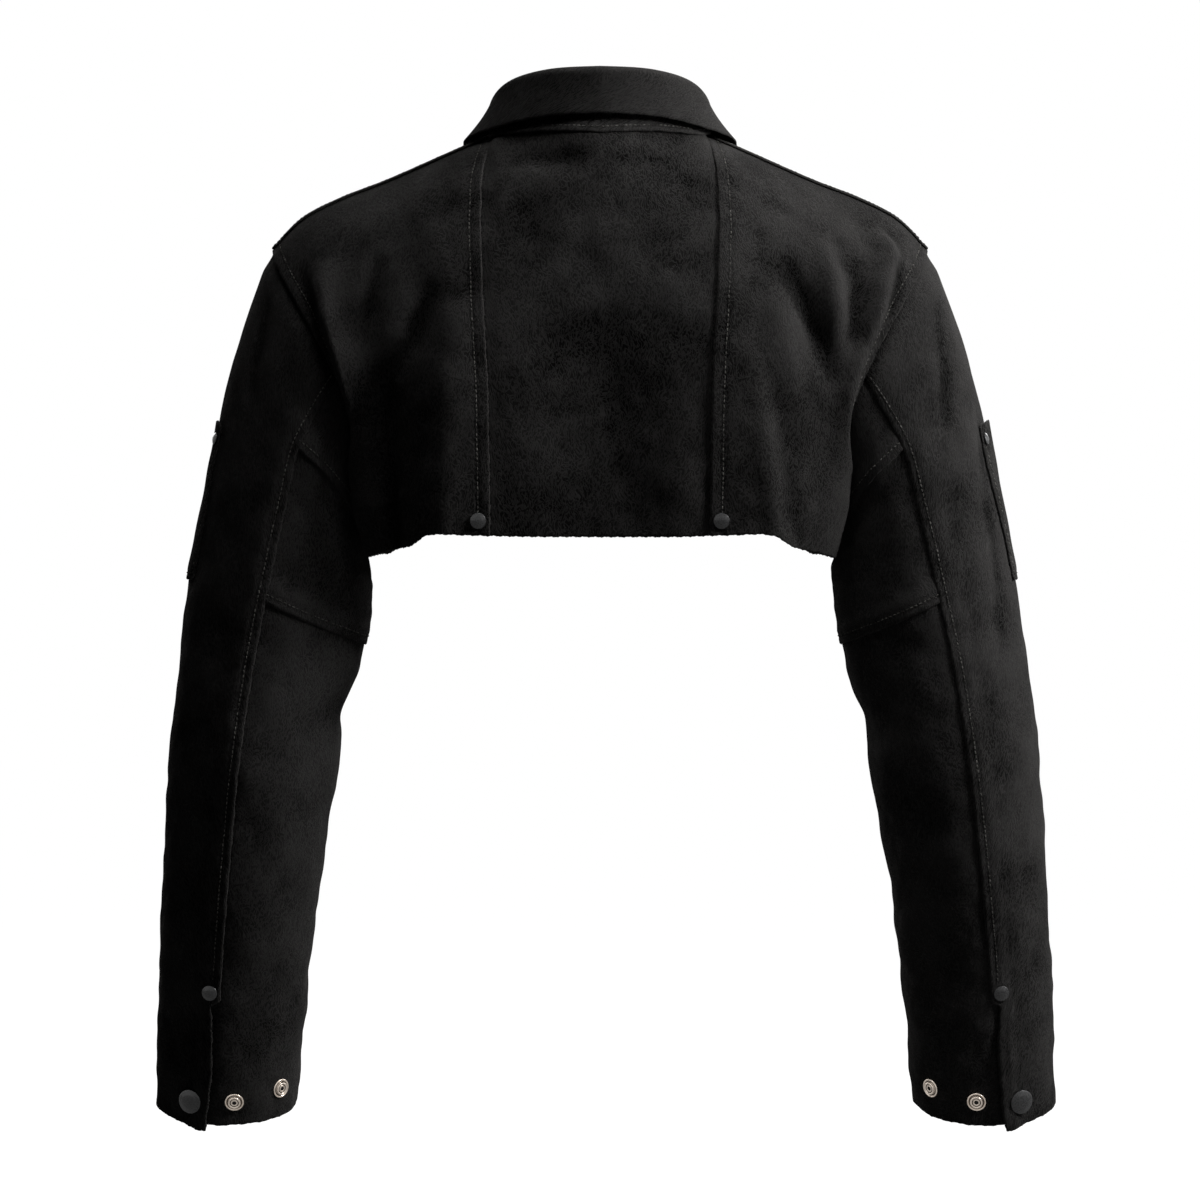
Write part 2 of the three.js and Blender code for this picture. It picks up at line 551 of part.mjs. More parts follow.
const dome = (r, height) => [
  [0, 0],
  [r, 0],
  [r, 0.35 * height],
  [0.7 * r, 0.85 * height],
  [0, height],
];
const socket = (r) => [
  [0, 0],
  [r, 0],
  [r, 1],
  [0.7 * r, 1.6],
  [0.7 * r, 3.6],
  [0.42 * r, 3.6],
  [0.42 * r, 1.2],
  [0, 1.2],
];

backPanel();
collarBand();
collarLeaf();
FRONT_SNAPS.forEach((level, i) => {
  const onFront = (x, at) => body(shareAt(x, at), at);
  turned("front_snap_" + (i + 1), dome(7.5, 3), blackMetal, onFront, -0.01, level, -1, 0.4);
});
for (const [side, name] of [[1, "right"], [-1, "left"]]) {
  sideBackPanel(side, name);
  frontPanel(side, name);
  outerSleeve(side, name);
  underSleeve(side, name);
  sleevePocket(side, name);

  const onBody = (x, level) => body(side * shareAt(x, level), level);
  const onSleeve = (angle, along) => sleeve(side, angle, along);
  turned("back_rivet_" + name, dome(6, 2.8), blackMetal, onBody, 90.5, 209, -side);
  turned("slit_rivet_" + name, dome(6, 2.8), blackMetal, onSleeve, 76, 0.796, side);
  const capLift = outerLift(72, 0.965) + 0.4;
  turned("cuff_cap_" + name, dome(9.5, 3.6), blackMetal, onSleeve, 64, 0.965, side, capLift);
  turned("cuff_stud_back_" + name, socket(7.4), steel, onSleeve, 99, 0.963, side);
  turned("cuff_stud_inner_" + name, socket(7.4), steel, onSleeve, 140, 0.955, side);
}

export default cape;
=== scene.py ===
# %% [markdown]
# # A suede welding cape
# The cape covers a welder's shoulders, upper back and arms. It is cut from black split leather, lapped at
# every seam, sewn with grey thread and closed with rivets and snaps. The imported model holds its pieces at
# their real size. This lesson gives each of them a finer surface, on grids that numpy works out.

# %% The frame and the tools
import math

import bmesh
import bpy
import numpy as np
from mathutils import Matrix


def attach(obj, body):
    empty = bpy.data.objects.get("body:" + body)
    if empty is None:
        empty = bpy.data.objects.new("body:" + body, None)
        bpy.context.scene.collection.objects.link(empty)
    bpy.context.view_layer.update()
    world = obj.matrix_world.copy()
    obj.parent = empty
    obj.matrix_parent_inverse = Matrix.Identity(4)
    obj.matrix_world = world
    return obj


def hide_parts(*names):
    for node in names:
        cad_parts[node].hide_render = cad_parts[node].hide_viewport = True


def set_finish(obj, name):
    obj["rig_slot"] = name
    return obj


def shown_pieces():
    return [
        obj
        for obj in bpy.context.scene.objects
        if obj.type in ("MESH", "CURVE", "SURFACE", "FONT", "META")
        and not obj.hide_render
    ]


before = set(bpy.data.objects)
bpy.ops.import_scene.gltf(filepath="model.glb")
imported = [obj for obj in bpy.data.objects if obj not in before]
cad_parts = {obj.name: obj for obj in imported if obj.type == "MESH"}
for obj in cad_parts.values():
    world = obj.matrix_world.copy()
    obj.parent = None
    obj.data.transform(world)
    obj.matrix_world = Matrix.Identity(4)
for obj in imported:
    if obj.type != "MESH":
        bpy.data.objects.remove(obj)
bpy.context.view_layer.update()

MM = 0.001  # the sizes below are in millimetres, the meshes in metres

# %% [markdown]
# ## Camera
# The cape is seen straight from behind, from a few metres away, with the lens level with its middle. A long
# lens at that distance keeps both sleeves upright, where a short one close by would spread the cuffs.

# %% Camera
VIEW_DISTANCE = 3.2  # metres behind the neck
VIEW_HEIGHT = -0.348  # metres, measured from the neck
VIEW_WIDTH = 0.924  # metres across the picture, at the neck
SENSOR = 36.0

camera = bpy.data.objects.new("camera", bpy.data.cameras.new("camera"))
camera.location = (0.0, -VIEW_DISTANCE, VIEW_HEIGHT)
camera.rotation_euler = (math.pi / 2, 0.0, 0.0)
camera.data.sensor_width = SENSOR
camera.data.lens = SENSOR * VIEW_DISTANCE / VIEW_WIDTH
bpy.context.scene.collection.objects.link(camera)
bpy.context.scene.camera = camera
print(f"lens {camera.data.lens:.1f} mm")

# %% [markdown]
# ## Smooth curves from short tables
# A pattern cutter notes a garment as a few measures at a few heights. The tables below do the same, and a
# smooth curve runs through their rows. A spline object could do this too, but a formula can be read at
# thousands of places at once.


# %% Curves through tables
def table(columns, *rows):
    """A short table, kept as one array for each named column."""
    return dict(zip(columns.split(), np.array(rows, float).T))


def read(rows, key, at, column):
    """Cubic between the two rows beside a value of the key column; at each row the slope is the mean of the
    slopes of the stretches on either side."""
    keys, values = rows[key], rows[column]
    i = np.clip(np.searchsorted(keys, at, side="right") - 1, 0, len(keys) - 2)
    step = np.diff(values) / np.diff(keys)
    slope = np.concatenate([step[:1], (step[1:] + step[:-1]) / 2, step[-1:]])
    span = keys[i + 1] - keys[i]
    t = (at - keys[i]) / span
    a, b, da, db = values[i], values[i + 1], slope[i] * span, slope[i + 1] * span
    return a + t * (da + t * (3 * (b - a) - 2 * da - db + t * (2 * (a - b) + da + db)))


def smoothstep(x, low, high):
    """0 below low, 1 above high, and 3t^2 - 2t^3 between them."""
    t = np.clip((x - low) / (high - low), 0.0, 1.0)
    return t * t * (3 - 2 * t)


def lerp(a, b, t):
    """The mix of a and b that is a at t 0 and b at t 1."""
    return a + (b - a) * t


def normal_of(point, u, v, step_u, step_v):
    """Unit cross product of the surface's two tangents, each found by a small step either way."""
    along_u = point(u + step_u, v) - point(u - step_u, v)
    along_v = point(u, v + step_v) - point(u, v - step_v)
    across = np.cross(along_u, along_v)
    return across / np.linalg.norm(across, axis=-1, keepdims=True)


def dense(stops, count):
    """A list of stops with even steps put between them, count values in all."""
    return np.interp(np.linspace(0, len(stops) - 1, count), np.arange(len(stops)), stops)


print("shoulder example:", read(table("x z", (80, 10), (114, -4.5), (164, -26)), "x", 100.0, "z").round(2))

# %% [markdown]
# ## The body's measures
# The back and the fronts are one surface round the chest. A place on it has a share, from the centre line to
# the side, and a level, from the shoulder ridge down the back or, when negative, down the front.

# %% Measures of the body
LEATHER = 1.6  # thickness of the suede
LAP = 2.0  # step between two lapped panels, middle to middle
SEAM = 14.0  # width of a lapped seam
ACROSS = 270.0  # length of the surface from the centre line to the side
NECK = {"half_width": 80, "middle_y": -12, "back": 73, "front": 90, "z": 10, "back_drop": 2, "front_drop": 74}
NECK_POWER = 1.4  # how late the neckline leaves its highest point
EASY_TOP = {"back": 6, "front": -45}  # height to which the level lines ease out below the neckline
ARMHOLE = {"x": 215.2, "z": -180, "half_width": 37.3, "half_height": 102, "half_depth": 78}
SCOOP = {"back": 16, "front": 20}  # how far the armhole cuts into the back and the front
SIDE_HEM = {"x": 167.2, "z": -314}
FOLD_BACK = 95.0  # depth of the back beyond which a fold's place is also counted round the side
HEM_LEVEL = 220.0  # level of the hem, where 180 is the bottom of the armhole
SHOULDER_BACK_EDGE, SHOULDER_FRONT_EDGE = 3.0, 11.0  # levels of the two edges that lap on the shoulder
SHOULDER_SETTLED = 44.0  # level by which the shoulder's lap has run out
UPPER_LEVELS = [20, 31, 44, 58, 74, 91]
LOWER_ROWS = 96  # rows of a panel below the last of those levels

SHOULDER_LINE = table("x z", (80, 10), (114, -4.5), (164, -26), (203, -41), (230, -55.5), (252.5, -78))
BACK_HEM = table(
    "x z",
    (0, -301),
    (60, -300.5),
    (100, -299),
    (124, -298.5),
    (131, -300.5),
    (138, -305.5),
    (148, -309),
    (167.2, -312),
)
FRONT_HEM = table("x z", (0, -291), (110, -291), (145, -299), (167.2, -312))
TORSO = table(
    "rise back front square",
    (0, 110, 110, 4.6),
    (0.3, 118, 121, 3.6),
    (0.6, 121, 113, 2.8),
    (0.85, 117, 103, 2.4),
    (1, 112, 112, 2.2),
)
BACK_SEAM = table("rise x", (0, 82), (0.4, 84), (0.6, 87), (0.84, 88.6), (0.93, 86.5), (1, 82))
TALL = ARMHOLE["z"] + ARMHOLE["half_height"] - SIDE_HEM["z"]  # from the hem to the shoulder, at the side
FOOT = 1 - 2 * ARMHOLE["half_height"] / TALL  # height of the armhole's bottom, as a share of that
print(f"hem to shoulder {TALL} mm at the side, armhole from {FOOT * TALL:.0f} mm up")

# %% [markdown]
# ## Folds
# Leather hangs in a few soft folds from the shoulder and round the elbow. Cloth simulation would find some
# folds, but not these ones. Each is written down as a ridge or a valley between two places, and its height
# dies away from that line as a bell curve does.

# %% Folds
BODY_FOLDS = table(
    "side p q to_p to_q width height open",
    (1, 240, -72, 196, -200, 10, 9, 0),
    (1, 250, -90, 214, -178, 8, -7, 0),
    (1, 232, -62, 240, -100, 8, 4, 0),
    (1, 200, -150, 186, -314, 14, 12, 1),
    (1, 176, -70, 181, -160, 11, 7, 0),
    (1, 206, -85, 189, -165, 10, -7, 0),
    (1, 138, -85, 178, -190, 11, -12, 0),
    (1, 126, -110, 148, -225, 14, 6, 0),
    (1, 104, -140, 124, -312, 22, 5, 1),
    (1, 128, -160, 147, -312, 12, -2, 1),
    (1, 116, -165, 134, -312, 9, 3.2, 1),
    (1, 0, -17, 75, -19, 9, -2, 0),
    (-1, 80, -40, 0, -38, 11, 2, 0),
    (-1, 80, -17, 0, -15, 9, -4.5, 0),
    (1, 6, -15, 6, -290, 38, -5, 0),
    (1, 0, -110, 0, -312, 50, -4, 1),
    (1, 60, -190, 62, -312, 18, 3, 1),
    (-1, 226, -90, 194, -215, 15, 9, 0),
    (-1, 246, -90, 212, -180, 8, -7, 0),
    (-1, 200, -150, 185, -314, 14, 12, 1),
    (-1, 172, -85, 177, -165, 9, -3.5, 0),
    (-1, 122, -105, 153, -185, 11, -7, 0),
    (-1, 158, -150, 167, -312, 15, -11, 1),
    (-1, 138, -165, 146, -312, 13, -3, 1),
    (-1, 110, -125, 118, -312, 15, 4.5, 1),
    (-1, 6, -15, 6, -290, 38, -5, 0),
    (-1, 0, -110, 0, -312, 50, -4, 1),
)
FOLD_FADE = 0.07  # how close to the armhole the folds reach, as an angle of the slice
SLEEVE_LENGTH = 600.0  # along the middle of a sleeve
SLEEVE_GIRTH = 1.15  # length round a sleeve for one degree
SLEEVE_FOLDS = table(
    "side angle along to_angle to_along width height",
    (1, 30, 0.02, 64, 0.15, 10, -4),
    (1, 22, 0.12, 53, 0.38, 9, -3),
    (1, 118, 0.36, 240, 0.35, 20, 3),
    (1, 118, 0.44, 240, 0.42, 18, -3.5),
    (-1, 30, 0.01, 52, 0.12, 10, -4),
    (-1, 118, 0.36, 240, 0.35, 20, 3),
    (-1, 118, 0.43, 240, 0.42, 18, -6),
)
for end in ("", "to_"):
    SLEEVE_FOLDS[end + "p"] = SLEEVE_FOLDS[end + "angle"] * SLEEVE_GIRTH
    SLEEVE_FOLDS[end + "q"] = SLEEVE_FOLDS[end + "along"] * SLEEVE_LENGTH
SLEEVE_FOLDS["open"] = np.zeros_like(SLEEVE_FOLDS["p"])


def fold_height(folds, side, p, q):
    """Sum of the folds of one side: height times exp(-(distance / width)^2), where distance is measured to
    the fold's line, times a taper that is 0 at both ends, or only at the first end of an open fold."""
    height = np.zeros_like(p)
    for i in np.flatnonzero(folds["side"] == side):
        at = {column: values[i] for column, values in folds.items()}
        dp, dq = at["to_p"] - at["p"], at["to_q"] - at["q"]
        t = np.clip(((p - at["p"]) * dp + (q - at["q"]) * dq) / (dp * dp + dq * dq), 0, 1)
        distance = np.hypot(p - at["p"] - t * dp, q - at["q"] - t * dq)
        taper = np.sin(np.minimum(t * 2, 1) * np.pi / 2) if at["open"] else np.sin(t * np.pi)
        height += at["height"] * taper * np.exp(-((distance / at["width"]) ** 2))
    return height


CRUMPLES, SHORTER, LOWER = 9, 0.8, 0.78  # number of waves, and each one's length and height beside the last
OFFSET, BENT, SLOWER = 1.7, 0.6, 2.3  # step of the phase between waves, and how far and how slowly it bends
GOLDEN_TURN = math.pi * (3 - math.sqrt(5))
APART = {"body": 400, "sleeve": 300}  # shift that keeps two halves from showing the same pattern


def crumple(p, q, longest, size):
    """Soft unevenness of worn leather: waves in directions a golden turn apart, each shorter and lower than
    the one before it, with a phase that a slower wave bends."""
    height = np.zeros_like(p)
    for k in range(CRUMPLES):
        wave = longest * SHORTER**k
        turn = GOLDEN_TURN * (k + 1)
        phase = 2 * np.pi * (p * math.cos(turn) + q * math.sin(turn)) / wave
        height += size * LOWER**k * np.sin(phase + OFFSET * k + BENT * np.sin(phase / SLOWER + k))
    return height


print(f"{len(BODY_FOLDS['side'])} folds on the body, {len(SLEEVE_FOLDS['side'])} on the sleeves")

# %% [markdown]
# ## The body's surface
# At each level the chest is a rounded rectangle, cut off where the armhole starts. This keeps the back flat
# between the seams and turns it quickly under the arm, as the real cape does.

# %% Surface of the body
NEAR_RIDGE = 0.2  # level nearest the ridge at which a slice is read
SHARE_STEP, LEVEL_STEP = 1e-3, 0.1  # steps by which the body's normals are found
SOFT_NECK = 72.0  # distance over which the back of the neck runs out into the shoulders
NECK_FADE = (2, 26)  # levels between which the neckline's oval gives way
FOLD_START, FOLD_SIDE = (8, 40), (140, 178)  # levels where folds set in, and where they come to reach the side
UNEVEN_START = (20, 50)  # levels where the unevenness sets in
BODY_CRUMPLE = {"longest": 85.0, "size": 0.45}


def rise(level):
    """Height of a level as a share, 0 at the hem and 1 at the ridge: a cosine down the armhole, then a
    straight line down the side."""
    angle = np.abs(level)
    on_armhole = 1 - ARMHOLE["half_height"] / TALL * (1 - np.cos(np.radians(angle)))
    return np.where(angle <= 180, on_armhole, FOOT * (HEM_LEVEL - angle) / (HEM_LEVEL - 180))


def level_at(up):
    """The level at a height, which undoes rise: an arc cosine, then a straight line."""
    turn = np.arccos(np.clip(1 - (1 - up) * TALL / ARMHOLE["half_height"], -1, 1))
    return np.where(up >= FOOT, np.degrees(turn), HEM_LEVEL - up / FOOT * (HEM_LEVEL - 180))


def rows_down(first, count):
    """Levels of a panel's rows: close together over the shoulder, then evenly spaced in height."""
    lower = level_at(np.linspace(rise(UPPER_LEVELS[-1]), 0, LOWER_ROWS))
    return np.concatenate([dense([*first, *UPPER_LEVELS], count)[:-1], lower])


def side_edge(level):
    """x and y of the side edge: an ellipse scooped out behind and in front, then a straight side."""
    angle = np.abs(level)
    c, s = np.cos(np.radians(angle)), np.sin(np.radians(angle))
    scoop = np.where(level > 0, SCOOP["back"], SCOOP["front"])
    on_armhole = ARMHOLE["x"] + ARMHOLE["half_width"] * c - scoop * s**3 * (1 - c / 2)
    below = lerp(ARMHOLE["x"] - ARMHOLE["half_width"], SIDE_HEM["x"], (angle - 180) / (HEM_LEVEL - 180))
    return np.where(angle <= 180, on_armhole, below), np.where(angle <= 180, ARMHOLE["half_depth"] * s, 0.0)


# %% Slices of the body
def on_slice(angle, square):
    """Point at an angle on the curve |x|^n + |y|^n = 1, where n is how square it is."""
    s, c = np.sin(angle), np.cos(angle)
    size = (np.abs(s) ** square + np.abs(c) ** square) ** (1 / square)
    return s / size, c / size


def slice_at(level):
    """Depth, squareness, roundness, last angle and half width of the body's slice at a level."""
    away = np.maximum(np.abs(level), NEAR_RIDGE)
    up = rise(away)
    depth = np.where(level > 0, read(TORSO, "rise", up, "back"), read(TORSO, "rise", up, "front"))
    square = read(TORSO, "rise", up, "square")
    rounded = np.sqrt(1 - up**4)
    cut = side_edge(np.where(level > 0, away, -away))[1] / rounded / depth
    end = np.arctan2((1 - cut**square) ** (1 / square), cut)
    return depth, square, rounded, end, side_edge(level)[0] / on_slice(end, square)[0]


def share_at(x, level):
    """Share of the way to the side edge at which a level's slice has a given x."""
    _, square, _, end, width = slice_at(level)
    across = np.abs(x) / width
    return np.sign(x) * np.arctan(across / (1 - across**square) ** (1 / square)) / end


# %% Form and folds of the body
def top_edge(x, level):
    """y and z over a distance x from the centre line: the oval neckline, then the shoulder line. Below the
    neckline a bell curve takes the oval's place, so that it leaves no crease."""
    is_back = level > 0
    outward = (x - NECK["half_width"]) / (ARMHOLE["x"] + ARMHOLE["half_width"] - NECK["half_width"])
    middle = np.sqrt(np.clip(1 - (x / NECK["half_width"]) ** 2, 0, 1))
    reach = np.where(is_back, -NECK["back"], NECK["front"])
    drop = np.where(is_back, NECK["back_drop"], NECK["front_drop"])
    on_neck = x < NECK["half_width"]
    y = np.where(on_neck, NECK["middle_y"] + reach * middle, NECK["middle_y"] * (1 - outward))
    soft = NECK["middle_y"] * (1 - np.maximum(outward, 0)) + reach * np.exp(-((x / SOFT_NECK) ** 2))
    y = lerp(y, soft, smoothstep(np.abs(level), *NECK_FADE))
    z = np.where(on_neck, NECK["z"] - drop * middle**NECK_POWER, read(SHOULDER_LINE, "x", x, "z"))
    return y, z


def body_form(share, level):
    """The slice's point at that share, settled from the top edge into the slice's depth, at a height between
    the hem and the top edge."""
    is_back = level > 0
    depth, square, rounded, end, width = slice_at(level)
    across, out = on_slice(share * end, square)
    _, ridge_square, _, ridge_end, ridge_width = slice_at(np.where(is_back, NEAR_RIDGE, -NEAR_RIDGE))
    top_y, top_z = top_edge(np.abs(ridge_width * on_slice(share * ridge_end, ridge_square)[0]), level)
    x = width * across
    hem_x = np.minimum(np.abs(x), SIDE_HEM["x"])
    hem_z = np.where(is_back, read(BACK_HEM, "x", hem_x, "z"), read(FRONT_HEM, "x", hem_x, "z"))
    settled = np.where(np.abs(level) < NEAR_RIDGE, 0.0, rounded)
    up = rise(level)
    outward = x / side_edge(level)[0]
    easy_top = np.where(is_back, EASY_TOP["back"], EASY_TOP["front"])
    easy = lerp(easy_top, ARMHOLE["z"] + ARMHOLE["half_height"], outward**2)
    y = settled * depth * out * np.where(is_back, -1, 1) + (1 - settled) * top_y
    z = lerp(hem_z, lerp(easy, top_z, up**4), up)
    return np.stack([x, y, z], axis=-1)


def body(share, level):
    """The form moved along its normal by its folds and its unevenness, both 0 at the armhole and the ridge."""
    share, level = np.broadcast_arrays(np.asarray(share, float), np.asarray(level, float))
    place = body_form(share, level)
    x, y, z = np.moveaxis(place, -1, 0)
    across = np.abs(x) + np.maximum(y + FOLD_BACK, 0) / 2
    right, left = (fold_height(BODY_FOLDS, side, across, z) for side in (1, -1))
    beside = smoothstep((1 - np.abs(share)) * slice_at(level)[3], 0, FOLD_FADE)
    edge = lerp(beside, 1, smoothstep(level, *FOLD_SIDE)) * smoothstep(level, *FOLD_START)
    folds = np.where(level > 0, np.where(share < 0, left, right) * edge, 0.0)
    uneven = crumple(x + np.sign(level) * APART["body"], z + y, **BODY_CRUMPLE)
    uneven = uneven * beside * smoothstep(np.abs(level), *UNEVEN_START)
    u = np.where(share < 0, -1, 1) * np.clip(np.abs(share), 2 * SHARE_STEP, 1 - 2 * SHARE_STEP)
    v = np.clip(np.abs(level), NEAR_RIDGE + LEVEL_STEP, HEM_LEVEL - 2 * LEVEL_STEP) * np.where(level > 0, 1, -1)
    return place - normal_of(body_form, u, v, SHARE_STEP, LEVEL_STEP) * (folds + uneven)[..., None]


print("centre of the back at half height:", body(0.0, 90.0).round(1))

# %% [markdown]
# ## The sleeves' surface
# A sleeve is a tube whose oval sections are written down from the armhole to the cuff. Its top runs on under
# the body's edge, where it is sewn; under the arm it comes out and laps over that edge instead.

# %% Surface of the sleeves
SLEEVE = table(
    "along x y z out_x out_z back_y back_z scoop",
    (0, 215.2, 0, -180, 37.3, 102, 78, 0, 1),
    (0.1, 232.5, -2, -235, 50.5, 66, 77, 0, 0.35),
    (0.18, 238.5, -4, -283, 60, 42, 74, 0, 0.1),
    (0.27, 247, -6, -340, 68.5, 14, 71, 0, 0),
    (0.37, 258, -8, -400, 66.5, 5, 68, 0, 0),
    (0.49, 268.5, -8, -470, 64.5, 2, 65, 4, 0),
    (0.65, 279.5, 4, -560, 60, 1, 58, 10, 0),
    (0.82, 288.5, 22, -650, 57, 0, 51, 10, 0),
    (1, 295, 42, -738, 54.5, 0, 45, 14, 0),
)
BACK_EDGE = table("along angle", (0, 91), (0.15, 89), (0.3, 86), (0.6, 84), (1, 84))
OUTER_EDGE = 91.0  # angle of the outer panel's edges at the armhole: 0 is outside, 90 the back, 180 inside
UNDER_FROM, UNDER_TO = 79.0, 281.0  # angles between which the under panels run
SLIT, SLIT_EDGE, SLIT_BOW = 0.812, 77.0, 3.5  # where the slit starts, the edge below it and its bow
CUFF_CORNER = 4.0  # how far the outer panel's corner hangs below the cuff
SWAY = 4.2  # how far both cuffs hang to the wearer's right
TUCK = 12.0  # how far a sleeve runs under the body round the shoulder
CROSSING_GAP = 1.6  # how far below the body's edge it starts where it comes out from under it
UNDERARM_LAP = 4.0  # how far it laps over the body under the arm
TUCK_END, LAP_START, LAP_END = (96, 115), (129, 144), (164, 178)  # levels where the tuck and that lap change
CROSSING = (113, 135)  # levels between which a sleeve comes out from under the body
OUTSIDE, DEEPER, SHOULDER_LAYERS = 1.4, 0.3, 1.8  # laps outside the body, further in, and on the shoulder
STEP_FADE = 0.022  # share of a sleeve over which it comes out from under the body
ANGLE_STEP, ALONG_STEP = 0.1, 1e-3  # steps by which a sleeve's normals are found
SLEEVE_CRUMPLE = {"longest": 80.0, "size": 0.5}
SLEEVE_UNEVEN_START = (0.02, 0.1)


# %% Points of a sleeve
def sleeve_form(side, angle, along):
    """Middle of the section, plus its outward reach times the cosine and its backward reach times the sine of
    the angle, less the armhole's scoop."""
    at = {column: read(SLEEVE, "along", along, column) for column in list(SLEEVE)[1:]}
    c, s = np.cos(np.radians(angle)), np.sin(np.radians(angle))
    scoop = np.where(s > 0, SCOOP["back"], SCOOP["front"]) * at["scoop"]
    x = side * (at["x"] + at["out_x"] * c - scoop * np.abs(s) ** 3 * (1 - c / 2)) + SWAY * along * (2 - along)
    return np.stack([x, at["y"] - at["back_y"] * s, at["z"] + at["out_z"] * c - at["back_z"] * s], axis=-1)


def at_armhole(side, angle, depth):
    """Place on the body a way inside the armhole's edge, and the step to the sleeve's layer there: under the
    body round the shoulder, outside it under the arm."""
    level = np.where(angle > 180, angle - 360, angle)
    share = 1 - depth / ACROSS
    normal = -normal_of(body, side * np.minimum(share, 1 - 2 * SHARE_STEP), level, SHARE_STEP, LEVEL_STEP)
    under = 1 - (1 + OUTSIDE) * smoothstep(np.abs(level), *CROSSING)
    off_shoulder = smoothstep(np.abs(level), SHOULDER_FRONT_EDGE, SHOULDER_SETTLED)
    layers = lerp(SHOULDER_LAYERS, 1, off_shoulder) + DEEPER * depth / TUCK
    return body(side * share, level), normal * (-LAP * under * layers)[..., None]


def sleeve(side, angle, along):
    """On the body where along is negative, and on the tube elsewhere, with its folds and unevenness; the step
    between the two layers fades out below the armhole."""
    angle, along = np.broadcast_arrays(np.asarray(angle, float), np.asarray(along, float))
    on_tube = np.clip(along, ALONG_STEP, 1 - ALONG_STEP)
    turn = np.where(angle < -90, angle + 360, angle)
    p, q = turn * SLEEVE_GIRTH, along * SLEEVE_LENGTH
    height = fold_height(SLEEVE_FOLDS, side, p, q)
    uneven = crumple(p + side * APART["sleeve"], q, **SLEEVE_CRUMPLE)
    height = height + uneven * smoothstep(along, *SLEEVE_UNEVEN_START)
    normal = side * normal_of(lambda u, v: sleeve_form(side, u, v), angle, on_tube, ANGLE_STEP, ALONG_STEP)
    place = sleeve_form(side, angle, np.maximum(along, 0)) + normal * height[..., None]
    near = along <= STEP_FADE
    if near.any():
        inside = np.maximum(-along[near], 0) * SLEEVE_LENGTH
        on_body, step = at_armhole(side, angle[near], inside)
        fade = (1 - smoothstep(along[near], 0, STEP_FADE))[:, None]
        place[near] = np.where(along[near][:, None] < 0, on_body + step, place[near] + step * fade)
    return place


def sleeve_top(angle):
    """Share along the sleeve at which it starts: tucked under the body round the shoulder, a gap below it
    where it comes out, lapped over it under the arm, and level with it at the armhole's bottom."""
    level = np.abs(np.where(angle > 180, angle - 360, angle))
    tucked = lerp(-TUCK, CROSSING_GAP, smoothstep(level, *TUCK_END))
    lapped = -UNDERARM_LAP * (1 - smoothstep(level, *LAP_END))
    return lerp(tucked, lapped, smoothstep(level, *LAP_START)) / SLEEVE_LENGTH


# %% Laps of a sleeve
LAP_LIFT, SINK = 1.7, 0.8  # how far a lapped edge rises, and the panel under it sinks
SPRING = 3.0  # how far the free edge below the slit springs off
RISE_ANGLES, SINK_ANGLES, SPRING_ANGLES = (66, 83), (9, 13), (50, OUTER_EDGE)


def outer_lift(turn, along):
    """How far the outer panel rises along its two seams, and springs off the cuff beside its slit."""
    lapped = LAP_LIFT * smoothstep(np.abs(turn), *RISE_ANGLES) * smoothstep(along, 0.0, 0.04)
    return lapped + SPRING * smoothstep(turn, *SPRING_ANGLES) * smoothstep(along, SLIT, 1)


def under_lift(turn):
    """How far the under panels sink beneath the outer panel, near either of their edges."""
    return -SINK * (1 - smoothstep(np.minimum(turn - UNDER_FROM, UNDER_TO - turn), *SINK_ANGLES))


print("right cuff, outside:", sleeve(1, 0.0, 1.0).round(1))

# %% [markdown]
# ## From a surface to a piece of leather
# A panel is a grid of points on a surface, given a thickness. A Solidify modifier could thicken it, but
# building both faces and the cut edge directly lets the edge be rounded and slightly ragged, as a blade
# leaves it, and lets each seam press a groove where the thread pulls it down.

# %% Edges, stitches and grids
EDGES = {"left": (1, 0), "right": (1, -1), "top": (0, 0), "bottom": (0, -1)}
GROOVE = {"depth": 0.55, "width": 2.2}  # how a row of stitches presses the leather down
PUCKER, PUCKER_LENGTH = 0.35, 2.1  # how unevenly it does so, and over what length
RIM, RAGGED = 0.4 * LEATHER, 0.5  # how far a cut edge bulges and wanders
RAGGED_WAVES = (0.9, 2.3)  # how quickly it wanders, in radians from one point to the next
SMOOTHINGS = 32  # how often a grid is averaged to find its ridges
SEWN_ROWS = {  # edge, distance of its stitches inside it, and the lengths left free at its two ends
    "back_side_*": (("left", 8.5, 0, 6), ("right", 7.5, 8, 30)),
    "front_*": (("bottom", 8, 0, 0), ("left", 9, 4, 4), ("right", 7.5, 30, 8)),
    "outer_sleeve_*": (("left", 6, 14, 4), ("right", 6, 14, 125)),
    "under_sleeve_top_*": (("bottom", 6, 10, 10),),
    "under_sleeve_gusset_*": (("bottom", 6, 10, 10),),
    "sleeve_pocket_*": (("left", 4.5, 14, 3), ("right", 4.5, 14, 3), ("bottom", 4.5, 4, 4)),
    "collar_band": (("top", 4.5, 2, 2),),
}
PANELS = {}


def row_for(rows, node, nothing):
    """A table's row for a panel, or for both sides of its kind, which a star marks."""
    return rows.get(node) or rows.get(node.removesuffix("right").removesuffix("left") + "*", nothing)


def distances(middle):
    """Length along the grid's lines from each of the panel's four edges."""
    found = {}
    for edge, (axis, end) in EDGES.items():
        steps = np.linalg.norm(np.diff(middle, axis=axis), axis=-1)
        pad = [(1, 0) if a == axis else (0, 0) for a in (0, 1)]
        length = np.pad(np.cumsum(steps, axis=axis), pad)
        found[edge] = length if end == 0 else length.max(axis=axis, keepdims=True) - length
    return found


